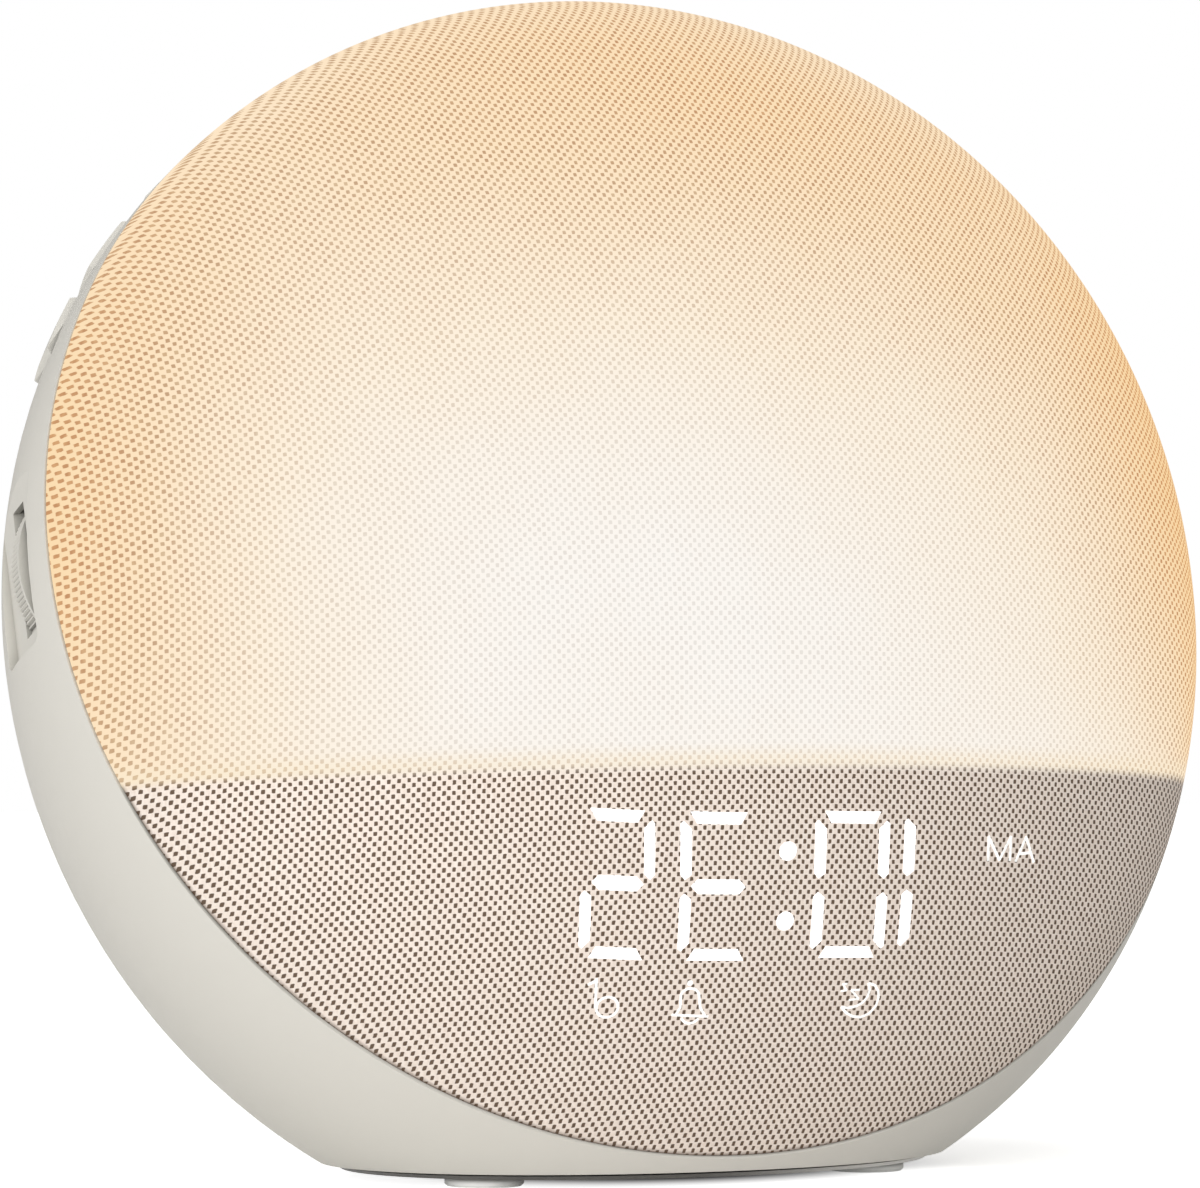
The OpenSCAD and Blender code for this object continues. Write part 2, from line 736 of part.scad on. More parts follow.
module segment_leds() color("#f5e9a0") display_frame() translate([0, 0, display_back - layer_gap])
    for (x = digits_x) {
        for (y = [-1, 0, 1]) translate(concat([x, display_mid] + slanted([0, y * digit_half]), 0))
            translate([-segment_led[0] / 2, -segment_led[1] / 2, 0]) cube(segment_led);
        for (c = [-1, 1]) for (y = [-1, 1])
            translate(concat([x, display_mid] + slanted([c * digit_w / 2, y * digit_half / 2]), 0))
            translate([-segment_led[1] / 2, -segment_led[0] / 2, 0]) cube([segment_led[1], segment_led[0], segment_led[2]]);
    }

module display_driver() color("#222222") display_frame()
    translate([driver_x, driver_y, display_back - layer_gap - board_t - driver[2]]) cube(driver);

// ---- Rear housing and base --------------------------------------------------------------

// Wells and columns for the long screws, from the back of the housing to the plate's bosses
module screw_columns() intersection() {
    oval_body(wall / 2);
    at_housing_screws() translate([0, 0, column_top - plate_back_s - reach]) cylinder(r = column_r, h = reach, $fn = round_fn);
}

module screw_wells() at_housing_screws() translate([0, 0, column_top - plate_back_s]) {
    translate([0, 0, -column_floor - reach]) cylinder(r = screw_head_r + 0.6, h = reach, $fn = round_fn);
    translate([0, 0, -column_floor - 1]) cylinder(r = screw_r + bore_gap, h = column_floor + 2, $fn = hole_fn);
}

// Six-sided rings of sound holes behind the speaker
module sound_holes() speaker_frame() for (i = [-sound_hole_rings:sound_hole_rings])
    for (j = [-sound_hole_rings:sound_hole_rings]) if (abs(i + j) <= sound_hole_rings)
        translate([(i + j / 2) * sound_hole_pitch, j * sound_hole_pitch * sin(60), 0])
            cylinder(r = sound_hole_r, h = reach, $fn = 16);

// The square seat of the speaker, with pilot holes for its four screws
module speaker_seat_ring() intersection() {
    oval_body(wall / 2);
    speaker_frame() translate([0, 0, speaker_seat]) linear_extrude(reach) difference() {
        square(speaker_side + 1, center = true);
        circle(r = speaker_r, $fn = round_fn);
    }
}

module at_speaker_screws() speaker_frame() for (x = [-1, 1]) for (y = [-1, 1])
    translate([x * speaker_screw_at, y * speaker_screw_at, speaker_flange_front]) rotate([180, 0, 0]) children();

module foot_ring() for (x = [-1, 1]) for (y = [-1, 1]) translate([x * foot_x, base_y + y * foot_y, 0]) children();

module button_holes() for (i = buttons) button_frame() translate([0, i * button_pitch, 0]) rotate([0, 90, 0])
    linear_extrude(reach) rounded(button_w + 2 * button_gap, button_l + 2 * button_gap, button_corner_r + button_gap);

// The flat floor beside the wheel, the slot it stands in and the room it turns in
module wheel_recess() {
    seam_frame() translate([-recess_x, 0, 0]) rotate([0, -90, 0]) linear_extrude(reach)
        translate([wheel_s + recess_front - recess_w / 2, wheel_up + (recess_top - recess_below) / 2])
        rounded(recess_w, recess_top + recess_below, recess_round);
    wheel_frame() translate([-reach, slot_up - slot_l / 2, -slot_w / 2]) cube([reach, slot_l, slot_w]);
    wheel_frame() cylinder(r = wheel_r + wheel_gap + 0.2, h = slot_w, center = true, $fn = body_fn);
}

module wheel_pad() intersection() {
    oval_body(wall / 2);
    seam_frame() translate([-recess_x, wheel_up - recess_below - wall, wheel_s + recess_front - recess_w - wall / 2])
        cube([recess_pad_t, recess_below + recess_top - 3, recess_w + wall]);
}

module socket_tube(r) translate([0, pocket_y - pocket_wall, socket_z]) rotate([-90, 0, 0]) cylinder(r = r, h = reach, $fn = round_fn);

module rear_housing() color("#d8d5cf") difference() {
    union() {
        difference() {
            intersection() {
                oval_body(0);
                level_slab(cover_edge_top + base_gap, reach);
                seam_slab(-reach, seam_offset);
            }
            intersection() {
                oval_body(wall);
                level_slab(floor_top, reach);
            }
        }
        difference() {
            union() {
                screw_columns();
                speaker_seat_ring();
                wheel_pad();
                intersection() {
                    oval_body(wall / 2);
                    socket_tube(pocket_r + pocket_wall);
                }
            }
            level_slab(-1, floor_top - 1);
        }
        foot_ring() translate([0, 0, floor_z]) cylinder(r = boss_r, h = boss_top - floor_z, $fn = round_fn);
    }
    translate([0, base_y, 0]) scale([pocket[0] / pocket[1], 1, 1]) cylinder(r = pocket[1], h = floor_z, $fn = body_fn);
    translate([0, base_y, 0]) linear_extrude(floor_top + 1) rounded(opening[0], opening[1], opening_round);
    foot_ring() cylinder(r = small_screw_r + bore_gap, h = reach / 4, $fn = hole_fn);
    screw_wells();
    button_holes();
    wheel_recess();
    sound_holes();
    at_speaker_screws() translate([0, 0, -5]) cylinder(r = small_screw_r + bore_gap, h = 6, $fn = hole_fn);
    translate([0, pocket_wall, 0]) socket_tube(pocket_r);
    translate([0, -1, 0]) socket_tube(socket_nose_r + fit_gap);
}

module base_cover() color("#e4e1da") difference() {
    union() {
        intersection() {
            oval_body(base_edge_inset);
            level_slab(foot_proud, cover_edge_top);
        }
        translate([0, base_y, foot_proud + base_edge_t / 2]) scale([pocket[0] / pocket[1], 1, 1])
            cylinder(r = pocket[1] - fit_gap, h = plug_top - foot_proud - base_edge_t / 2, $fn = body_fn);
    }
    foot_ring() {
        cylinder(r = foot_r + layer_gap, h = foot_proud + foot_recess, $fn = round_fn);
        cylinder(r = small_head_r + fit_gap, h = foot_proud + foot_recess + base_head_t, $fn = hole_fn);
        cylinder(r = small_screw_r + bore_gap, h = reach / 4, $fn = hole_fn);
    }
    translate([0, base_y, plug_top - 1]) linear_extrude(2) rounded(opening[0] - 4, opening[1] - 4, opening_round - 2);
}

// The feet are plain pads that also cover the base screws.
module rubber_feet() color("#77736c") foot_ring() rotate_extrude($fn = round_fn)
    polygon([[0, 0], [foot_r - 0.3, 0], [foot_r, 0.3], [foot_r, foot_proud + foot_recess - layer_gap],
        [0, foot_proud + foot_recess - layer_gap]]);

module housing_screws() color("silver") at_housing_screws()
    translate([0, 0, column_top - plate_back_s - column_floor]) rotate([180, 0, 0])
    screw(screw_r, screw_head_r, screw_head_t, screw_l);

module base_screws() color("silver") foot_ring() translate([0, 0, foot_proud + foot_recess + base_head_t])
    rotate([180, 0, 0]) screw(small_screw_r, small_head_r, base_head_t - layer_gap, base_screw_l);

// ---- Buttons ----------------------------------------------------------------------------

// Distance of a point in the button frame from the body's skin, positive outside
function skin_gap(x, y, z) = let (
    a = 180 - button_angle, s = z + button_s,
    across = x * cos(a) - y * sin(a), up = x * sin(a) + y * cos(a),
    r = norm([across, up * cos(lean_between) + s * sin(lean_between)]),
    along = s * cos(lean_between) - up * sin(lean_between))
    norm([r - rim_c, along]) - rim_r;

// Height of the skin above the middle of the body at a place beside the buttons
function skin_x(y, z, n = 4, x = body_r) = n == 0 ? x : skin_x(y, z, n - 1, x - skin_gap(x, y, z));

// Outline of a button's side: straight up to the skin, then drawn in by the draft
function drafted(lo, hi, skin_lo, skin_hi) = [
    [switch_top_x, lo], [skin_lo, lo], [skin_lo + 4, lo + 4 * tan(button_draft)],
    [skin_hi + 4, hi - 4 * tan(button_draft)], [skin_hi, hi], [switch_top_x, hi]];

module button_cap(i) {
    y = i * button_pitch;
    l = button_l / 2;
    w = button_w / 2;
    intersection() {
        oval_shell(-button_proud, wall + flange_gap + flange_t / 2);
        button_frame() translate([0, y, 0]) rotate([0, 90, 0]) linear_extrude(reach)
            rounded(button_w, button_l, button_corner_r);
        button_frame() linear_extrude(2 * button_w, center = true)
            polygon(drafted(y - l, y + l, skin_x(y - l, 0), skin_x(y + l, 0)));
        button_frame() translate([0, y, 0]) rotate([90, 0, 0]) linear_extrude(2 * button_l, center = true)
            polygon(drafted(-w, w, skin_x(y, -w), skin_x(y, w)));
    }
    intersection() {
        oval_shell(wall + flange_gap, wall + flange_gap + flange_t);
        button_frame() translate([0, y, 0]) rotate([0, 90, 0]) linear_extrude(reach)
            rounded(button_w + 2 * flange_lip, button_l + 2 * flange_lip, button_corner_r + flange_lip);
    }
    intersection() {
        oval_body(wall + flange_gap + flange_t / 2);
        button_frame() translate([plunger_top_x, y, 0]) rotate([0, 90, 0]) cylinder(r = button_post_r, h = reach, $fn = hole_fn);
    }
}

module button_upper() color("#cfccc6") button_cap(buttons[0]);
module button_middle() color("#cfccc6") button_cap(buttons[1]);
module button_lower() color("#cfccc6") button_cap(buttons[2]);

// The switch's plunger moves with its button; its flange stays inside the switch's well.
module plunger(i) button_frame() translate([switch_top_x - 1, i * button_pitch, 0]) rotate([0, 90, 0])
    cylinder(r = plunger_r, h = switch_rise + 1, $fn = hole_fn);

module plunger_upper() color("#222222") plunger(buttons[0]);
module plunger_middle() color("#222222") plunger(buttons[1]);
module plunger_lower() color("#222222") plunger(buttons[2]);

module button_switches() color("#c8c8c8") button_frame() for (i = buttons) translate([0, i * button_pitch, 0])
    difference() {
        translate([switch_foot_x, -switch_side / 2, -switch_side / 2]) cube([switch_h, switch_side, switch_side]);
        translate([switch_top_x - 1.6, 0, 0]) rotate([0, 90, 0])
            cylinder(r = plunger_r + bore_gap, h = switch_h, $fn = hole_fn);
    }

module button_board() color("#27573b") button_frame()
    translate([button_board_back, -button_board_l / 2, -button_board_w / 2])
    cube([button_board_t, button_board_l, button_board_w]);

module button_bracket() color("#e9e6df") difference() {
    union() {
        button_frame() translate([bracket_back, -button_board_l / 2, -button_board_w / 2])
            cube([bracket_t, button_board_l, button_board_w / 2 + plate_back_s - button_s - layer_gap]);
        for (y = [-1, 1]) button_frame()
            translate([bracket_back - tab_l, y * tab_at - tab_w / 2, plate_back_s - button_s - layer_gap - bracket_t])
            cube([tab_l + bracket_t / 2, tab_w, bracket_t]);
    }
    at_bracket_screws() translate([0, 0, -reach / 2]) cylinder(r = small_screw_r + bore_gap, h = reach, $fn = hole_fn);
}

module bracket_screws() color("silver") at_bracket_screws() translate([0, 0, -layer_gap - bracket_t])
    rotate([180, 0, 0]) screw(small_screw_r, small_head_r, small_head_t, bracket_t + plate_t);

// ---- Thumbwheel -------------------------------------------------------------------------

// The ribs stop short of the wheel's plain front edge.
module thumbwheel() color("#cfccc6") wheel_frame() difference() {
    linear_extrude(wheel_w, center = true) difference() {
        circle(r = wheel_r, $fn = body_fn);
        circle(r = shaft_r, $fn = round_fn);
    }
    translate([0, 0, -wheel_w / 2 - 1]) linear_extrude(wheel_w + 1 - wheel_edge_t)
        for (k = [0:wheel_ribs - 1]) rotate([0, 0, 360 * k / wheel_ribs]) translate([wheel_r, 0])
            rotate([0, 0, 45]) square(rib_h * sqrt(2), center = true);
    for (z = [-1, 1]) translate([0, 0, z * wheel_w / 2]) rotate_extrude($fn = body_fn)
        translate([(wheel_r + shaft_r) / 2 + 0.5, 0]) square([wheel_r - shaft_r - 5, 1.6], center = true);
}

module wheel_shaft() color("#9a9a98") wheel_frame() translate([0, 0, encoder_front - 3])
    cylinder(r = shaft_r, h = plate_back_s - wheel_s - 0.6 - encoder_front + 3, $fn = round_fn);

module wheel_encoder() color("#3a3a3a") wheel_frame() difference() {
    translate([-encoder_side / 2, -encoder_side / 2, encoder_back]) cube([encoder_side, encoder_side, encoder_t]);
    translate([0, 0, encoder_front - 3.4]) cylinder(r = shaft_r + bore_gap, h = 4, $fn = round_fn);
}

module wheel_board() color("#27573b") wheel_frame()
    translate([encoder_board_x - encoder_board[0] / 2, -encoder_board[1] / 2, encoder_back - board_t])
    cube([encoder_board[0], encoder_board[1], board_t]);

module wheel_bracket() color("#e9e6df") wheel_frame() difference() {
    union() {
        translate([wheel_wall_x, -encoder_board[1] / 2, encoder_back - board_t - bracket_t])
            cube([bracket_t, encoder_board[1], plate_back_s - wheel_s - layer_gap - encoder_back + board_t + bracket_t]);
        translate([encoder_board_x - encoder_board[0] / 2, -encoder_board[1] / 2, encoder_back - board_t - bracket_t])
            cube([wheel_wall_x - encoder_board_x + encoder_board[0] / 2 + bracket_t / 2, encoder_board[1], bracket_t]);
        translate([wheel_wall_x, -encoder_board[1] / 2, plate_back_s - wheel_s - layer_gap - bracket_t])
            cube([wheel_foot, encoder_board[1], bracket_t]);
    }
    for (y = [-1, 1]) translate([wheel_screw_x, y * wheel_screw_y, plate_back_s - wheel_s - 5])
        cylinder(r = small_screw_r + bore_gap, h = 8, $fn = hole_fn);
}

// ---- Speaker ----------------------------------------------------------------------------

module speaker_plate(side, hole, from, t) speaker_frame() translate([0, 0, from]) linear_extrude(t) difference() {
    square(side, center = true);
    circle(r = hole, $fn = round_fn);
    for (x = [-1, 1]) for (y = [-1, 1]) translate([x, y] * speaker_screw_at)
        circle(r = small_screw_r + bore_gap, $fn = hole_fn);
}

module speaker_gasket() color("#333333") speaker_plate(speaker_side - 0.6, speaker_r, speaker_frame_back + layer_gap, gasket_t);

module speaker_basket() color("#8f9092") {
    speaker_plate(speaker_side, speaker_r, speaker_flange_front, speaker_flange_t);
    speaker_frame() difference() {
        rotate_extrude($fn = round_fn) polygon([
            [magnet_r - 1, basket_plate], [magnet_r + 0.6, basket_plate],
            [speaker_r + 0.8, speaker_flange_front + 0.3], [speaker_r, speaker_flange_front + 0.3 + basket_t],
            [speaker_r, speaker_flange_front + 0.3], [magnet_r, basket_plate + basket_t], [4, basket_plate + basket_t], [4, basket_plate]]);
        for (a = [0, 90]) rotate([0, 0, a + 45]) translate([-reach, -5, basket_plate + 2])
            cube([2 * reach, 10, speaker_flange_front - basket_plate - 3.5]);
    }
}

module speaker_magnet() color("#4a4a4c") speaker_frame() translate([0, 0, magnet_front]) {
    cylinder(r = magnet_r, h = magnet_t - 1.2, $fn = round_fn);
    translate([0, 0, magnet_t - 1.2]) cylinder(r = magnet_r - 1.5, h = 1.2, $fn = round_fn);
    cylinder(r = 3.6, h = magnet_t + 4, $fn = round_fn);
}

module speaker_cone() color("#2c2c2e") speaker_frame() rotate_extrude($fn = round_fn) polygon([
    [0, cap_top], [0.6 * cap_r, cap_top - 0.4 * cone_t], [cap_r, cap_seat], [cone_r, cone_z],
    [cone_r, cone_z + cone_t], [cap_r + 0.2, cap_seat + cone_t], [0.6 * cap_r, cap_top + 0.6 * cone_t], [0, cap_top + cone_t]]);

module speaker_surround() color("#1d1d1f") speaker_frame() translate([0, 0, speaker_frame_back - 1]) rotate_extrude($fn = round_fn)
    intersection() {
        translate([cone_r + surround_r + 0.4, 0]) ring(surround_r, cone_t, 0);
        translate([cone_r - cone_t, 0]) square([4 * surround_r, 2 * surround_r]);
    }

module speaker_screws() color("silver") at_speaker_screws()
    screw(small_screw_r, small_head_r, small_head_t, speaker_flange_t + gasket_t + speaker_bite);

// ---- Main board and power socket --------------------------------------------------------

module main_board() color("#27573b") difference() {
    translate([-main_board_w / 2, main_board_y - main_board_d / 2, main_board_z]) cube([main_board_w, main_board_d, board_t]);
    foot_ring() cylinder(r = small_screw_r + bore_gap, h = reach / 4, $fn = hole_fn);
}

module board_screws() color("silver") foot_ring() translate([0, 0, main_board_z + board_t])
    screw(small_screw_r, small_head_r, small_head_t, board_t + screw_bite);

module on_board(x, y) translate([x, main_board_y + y, main_board_z + board_t]) children();

module board_chips() color("#222222") for (c = chips) on_board(c[0], c[1]) cube([c[2], c[3], c[4]]);

module capacitors() color("#30363c") for (p = tall_parts)
    on_board(p[0], p[1]) cylinder(r = p[2], h = tall_ratio * p[2], $fn = round_fn);

// The holder hangs under the main board, open towards the base so that the cell can be changed.
module cell_holder() color("#2b2b2b") translate([0, base_y, main_board_z - holder_h]) difference() {
    cylinder(r = cell_r + fit_gap + cell_wall, h = holder_h, $fn = round_fn);
    translate([0, 0, -cell_floor]) cylinder(r = cell_r + fit_gap, h = holder_h, $fn = round_fn);
    translate([0, -2 * cell_r, -cell_floor]) cube([2 * cell_r, 4 * cell_r, cell_t]);
}

module coin_cell() color("silver") translate([0, base_y, main_board_z - holder_h + fit_gap / 2]) {
    cylinder(r = cell_cap_r, h = cell_t - fit_gap, $fn = round_fn);
    translate([0, 0, cell_step]) cylinder(r = cell_r, h = cell_t - cell_step, $fn = round_fn);
}

module power_socket() color("#1e1e1e") difference() {
    union() {
        translate([-socket_body[0] / 2, socket_front - socket_body[1], socket_z - socket_body[2] / 2]) cube(socket_body);
        translate([0, socket_front - 0.5, socket_z]) rotate([-90, 0, 0]) cylinder(r = socket_nose_r, h = socket_nose, $fn = round_fn);
    }
    translate([0, socket_front + socket_nose + 0.1, socket_z]) rotate([90, 0, 0]) difference() {
        cylinder(r = socket_bore_r, h = 10, $fn = round_fn);
        cylinder(r = socket_pin_r, h = socket_core, $fn = hole_fn);
    }
}

fabric_cover();
diffuser_dome();
dome_rim();
mid_frame();
light_divider();
reflector_sheet();
led_board();
led_chips();
display_mask();
display_lightbox();
display_segments();
display_icons();
display_board();
segment_leds();
display_driver();
rear_housing();
base_cover();
rubber_feet();
housing_screws();
base_screws();
button_upper();
button_middle();
button_lower();
plunger_upper();
plunger_middle();
plunger_lower();
button_switches();
button_board();
button_bracket();
thumbwheel();
wheel_shaft();
wheel_encoder();
wheel_board();
wheel_bracket();
speaker_basket();
speaker_cone();
speaker_surround();
speaker_magnet();
speaker_gasket();
speaker_screws();
main_board();
board_chips();
capacitors();
power_socket();
cell_holder();
coin_cell();
board_screws();
bracket_screws();
display_screws();
lamp_board_screws();
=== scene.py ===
import json
import math
from collections import namedtuple

import bmesh
import bpy
from mathutils import Matrix, Vector


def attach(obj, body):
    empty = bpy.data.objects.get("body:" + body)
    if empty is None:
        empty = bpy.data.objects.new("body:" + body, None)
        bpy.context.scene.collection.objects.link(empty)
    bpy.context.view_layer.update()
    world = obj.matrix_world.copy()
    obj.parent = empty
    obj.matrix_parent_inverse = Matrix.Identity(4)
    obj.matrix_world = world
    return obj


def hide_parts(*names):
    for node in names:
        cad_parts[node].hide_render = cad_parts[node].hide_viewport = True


# The looks of the sunrise alarm clock: its woven cover, lit from behind, the light of its digits and marks,
# the finishes of the solids, and the studio. Lengths are in millimetres unless a comment says metres.

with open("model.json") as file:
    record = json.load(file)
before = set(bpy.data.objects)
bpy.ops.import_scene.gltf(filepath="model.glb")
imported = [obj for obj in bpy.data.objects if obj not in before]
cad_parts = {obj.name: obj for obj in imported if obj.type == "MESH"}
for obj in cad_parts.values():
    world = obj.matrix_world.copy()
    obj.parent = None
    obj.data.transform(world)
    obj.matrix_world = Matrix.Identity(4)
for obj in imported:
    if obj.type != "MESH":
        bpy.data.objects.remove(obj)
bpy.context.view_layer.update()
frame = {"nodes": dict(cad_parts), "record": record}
scene = bpy.context.scene

# ---------------------------------------------------------------- the body, in millimetres
# these sizes repeat the CAD source, so that the fabric follows its surface
MM = 0.001                # metres for each millimetre
CENTRE_H = 72.0           # height of the body's centre
BODY_R = 82.5
HALF_DEPTH = 51.6
RIM_R = 36.7              # radius of the oval's tight ends
BODY_LEAN = math.radians(9.2)
SEAM_LEAN = math.radians(20.4)
SEAM_OFFSET = 9.8
HEM_S = SEAM_OFFSET + 0.25
FABRIC_T = 0.8
DISPLAY_TILT = math.radians(12)
SHELF_DROP = 23.2         # the light divider's edge below the body's centre
SHELF_SLOPE = math.radians(4.3)

# the oval is four arcs that touch: two wide ones over the faces, two tight ones round the rim
RIM_C = BODY_R - RIM_R
DOME_R = (RIM_C ** 2 + HALF_DEPTH ** 2 - RIM_R ** 2) / (2 * (HALF_DEPTH - RIM_R))
DOME_C = DOME_R - HALF_DEPTH
DOME_ANGLE = math.atan2(RIM_C, DOME_C)
BASE_Y = -RIM_C * math.sin(BODY_LEAN)

ACROSS = Vector((1, 0, 0))
FORWARD = Vector((0, -math.cos(BODY_LEAN), math.sin(BODY_LEAN)))
UP = Vector((0, math.sin(BODY_LEAN), math.cos(BODY_LEAN)))
SEAM_AXIS = Vector((0, -math.cos(SEAM_LEAN), math.sin(SEAM_LEAN)))
DISPLAY_UP = Vector((0, -math.sin(DISPLAY_TILT), math.cos(DISPLAY_TILT)))
DISPLAY_AXIS = Vector((0, -math.cos(DISPLAY_TILT), -math.sin(DISPLAY_TILT)))
CENTRE = Vector((0, 0, CENTRE_H))


def on_body(theta, phi):
    """Point and normal of the oval at an angle from its front pole, phi around the axis."""
    if theta <= DOME_ANGLE:
        r, z = DOME_R * math.sin(theta), DOME_R * math.cos(theta) - DOME_C
    else:
        r, z = RIM_C + RIM_R * math.sin(theta), RIM_R * math.cos(theta)
    side = ACROSS * math.cos(phi) + UP * math.sin(phi)
    return CENTRE + side * r + FORWARD * z, side * math.sin(theta) + FORWARD * math.cos(theta)


def to_mesh(name, placed, faces):
    """A new smooth object from pairs of point and normal, in millimetres."""
    mesh = bpy.data.meshes.new(name)
    mesh.from_pydata([tuple(c * MM for c in point) for point, _ in placed], [], faces)
    mesh.polygons.foreach_set("use_smooth", [True] * len(mesh.polygons))
    mesh.update()
    mesh.normals_split_custom_set_from_vertices([tuple(normal) for _, normal in placed])
    ob = bpy.data.objects.new(name, mesh)
    scene.collection.objects.link(ob)
    return ob


# ---------------------------------------------------------------- shader helpers
def linear(level):
    c = level / 255
    return c / 12.92 if c <= 0.04045 else ((c + 0.055) / 1.055) ** 2.4


def srgb(r, g, b):
    """A linear colour, with alpha, from a picture's levels of 0 to 255."""
    return (linear(r), linear(g), linear(b), 1.0)


def scaled(color, share):
    return tuple(c * share for c in color[:3]) + (1.0,)


class Nodes:
    """The node tree of a material or world, with short calls for the nodes that this scene uses."""

    def __init__(self, owner, output):
        owner.use_nodes = True
        self.tree = owner.node_tree
        self.tree.nodes.clear()
        self.out = self.tree.nodes.new(output).inputs[0]

    def put(self, socket, value):
        """Links a node's output to a socket, or sets the socket to a plain value."""
        if isinstance(value, bpy.types.NodeSocket):
            self.tree.links.new(value, socket)
        else:
            socket.default_value = value

    def node(self, kind, *values, **props):
        n = self.tree.nodes.new(kind)
        for key, value in props.items():
            setattr(n, key, value)
        for socket, value in zip(n.inputs, values):
            self.put(socket, value)
        return n

    def fill(self, node, **values):
        """Sets inputs by name, with an underscore for each space."""
        for key, value in values.items():
            self.put(node.inputs[key.replace("_", " ")], value)
        return node

    def math(self, operation, *values, clamp=False):
        return self.node("ShaderNodeMath", *values, operation=operation, use_clamp=clamp).outputs[0]

    def add(self, a, b, clamp=False):
        return self.math("ADD", a, b, clamp=clamp)

    def sub(self, a, b):
        return self.math("SUBTRACT", a, b)

    def mul(self, a, b):
        return self.math("MULTIPLY", a, b)

    def power_series(self, v, *factors):
        """factors[0] v + factors[1] v^2 + and so on."""
        total = self.mul(v, factors[-1])
        for factor in factors[-2::-1]:
            total = self.mul(v, self.add(total, factor))
        return total

    def vmath(self, operation, *values):
        return self.node("ShaderNodeVectorMath", *values, operation=operation).outputs[0]

    def dot(self, v, axis):
        return self.node("ShaderNodeVectorMath", v, tuple(axis), operation="DOT_PRODUCT").outputs["Value"]

    def length(self, v):
        return self.node("ShaderNodeVectorMath", v, operation="LENGTH").outputs["Value"]

    def noise(self, v, scale, detail, rough=0.5):
        n = self.node("ShaderNodeTexNoise")
        return self.fill(n, Vector=v, Scale=scale, Detail=detail, Roughness=rough).outputs["Fac"]

    def wander(self, v, scale, detail, reach):
        """Noise around zero."""
        return self.mul(self.sub(self.noise(v, scale, detail), 0.5), reach)

    def smooth(self, v, lo, hi, to_lo=0.0, to_hi=1.0):
        n = self.node("ShaderNodeMapRange", interpolation_type="SMOOTHSTEP")
        return self.fill(n, Value=v, From_Min=lo, From_Max=hi, To_Min=to_lo, To_Max=to_hi).outputs[0]

    def ramp(self, fac, stops):
        n = self.node("ShaderNodeValToRGB", fac)
        elements = n.color_ramp.elements
        while len(elements) < len(stops):
            elements.new(0.5)
        for element, (position, color) in zip(elements, stops):
            element.position = position
            element.color = color
        return n.outputs[0]

    def mix(self, fac, a, b, blend="MIX"):
        n = self.node("ShaderNodeMix", fac, data_type="RGBA", blend_type=blend)
        # the node holds a pair of inputs for each kind of data: these two are the colours
        self.put(n.inputs[6], a)
        self.put(n.inputs[7], b)
        return n.outputs[2]

    def bump(self, height, strength, distance):
        n = self.node("ShaderNodeBump")
        return self.fill(n, Strength=strength, Distance=distance, Height=height).outputs[0]

    def place(self):
        """Object coordinates, in metres."""
        return self.node("ShaderNodeTexCoord").outputs["Object"]

    def face_place(self):
        """Object coordinates from the body's centre, in millimetres."""
        p = self.vmath("MULTIPLY", self.place(), (1 / MM, 1 / MM, 1 / MM))
        return self.vmath("SUBTRACT", p, tuple(CENTRE))


class Material(Nodes):
    """A new material and its node tree."""

    def __init__(self, name):
        self.material = bpy.data.materials.new(name)
        super().__init__(self.material, "ShaderNodeOutputMaterial")

    def surface(self, color, rough, **inputs):
        """Ends the tree with a Principled surface and gives back the finished material."""
        n = self.fill(self.node("ShaderNodeBsdfPrincipled"), Base_Color=color, Roughness=rough, **inputs)
        self.put(self.out, n.outputs[0])
        return self.material


# ---------------------------------------------------------------- fabric
THREADS_X = 1.70          # threads for each millimetre across, at the middle
THREADS_X_CHANGE = -0.00105
THREADS_Y = 1.68          # threads for each millimetre upwards
OPENING_TALL = 2.0        # stretches the openings upwards
OPENING_EDGE = (0.20, 0.64)

# the threads aren't straight: noise scales for each millimetre, and reaches in radians of the weave
BEND_SCALE = 0.16
BEND = 1.5
JITTER_SCALE = 0.9
JITTER_X = 0.66
JITTER_Y = 1.1
RAGGED_SCALE = 1.9
RAGGED = 0.55

# colours from the white core of the light to its warm edges
LIT_THREAD = [(0.0, srgb(252, 248, 243)), (0.28, srgb(254, 241, 222)), (0.57, srgb(254, 230, 197)),
              (0.78, srgb(252, 222, 178)), (1.0, srgb(250, 213, 160))]
LIT_OPENING = [(0.0, srgb(235, 232, 227)), (0.28, srgb(229, 214, 192)), (0.57, srgb(212, 181, 143)),
               (0.75, srgb(213, 164, 116)), (1.0, srgb(217, 158, 100))]
DIM_OPENING = srgb(176, 104, 60)
DIVIDER_THREAD = srgb(250, 236, 210)
DIVIDER_OPENING = srgb(222, 196, 160)
PLAIN_THREAD = (srgb(234, 219, 207), srgb(245, 233, 223))
PLAIN_OPENING = srgb(106, 89, 75)
# painted shadow: the dark line where the fabric's edge turns in at the seam
SEAM_SHADOW_COLOR = srgb(82, 66, 54)
LIT_BASE = (0.035, 0.028, 0.02, 1)  # what the lit part takes from the room's light: nearly nothing
GLOW_STRENGTH = 0.96
RELIEF_DEPTH = 0.00025    # metres

# how fast the light turns warm: factors of the place, its square and so on, in units of GLOW_REACH,
# and for the corners factors of 1, across, upwards and both; all fitted to levels read off the photo
GLOW_REACH = 80.0
GLOW_ACROSS = (0.235, 0.366, 0.0, 0.557)
GLOW_UPWARDS = (0.394, 1.106, 0.258, -1.246)
GLOW_CORNERS = (0.275, 0.165, -0.678, -1.645)
GLOW_LEAST = 0.06

# heights over the divider's edge: where the light sets in, and the two sides of the warm line along it
LIGHT_SETS_IN = (-0.9, 0.75)
LINE_LOWER = (-1.2, 0.3)
LINE_UPPER = (3.2, 0.5)
LINE_SHARE = 0.55


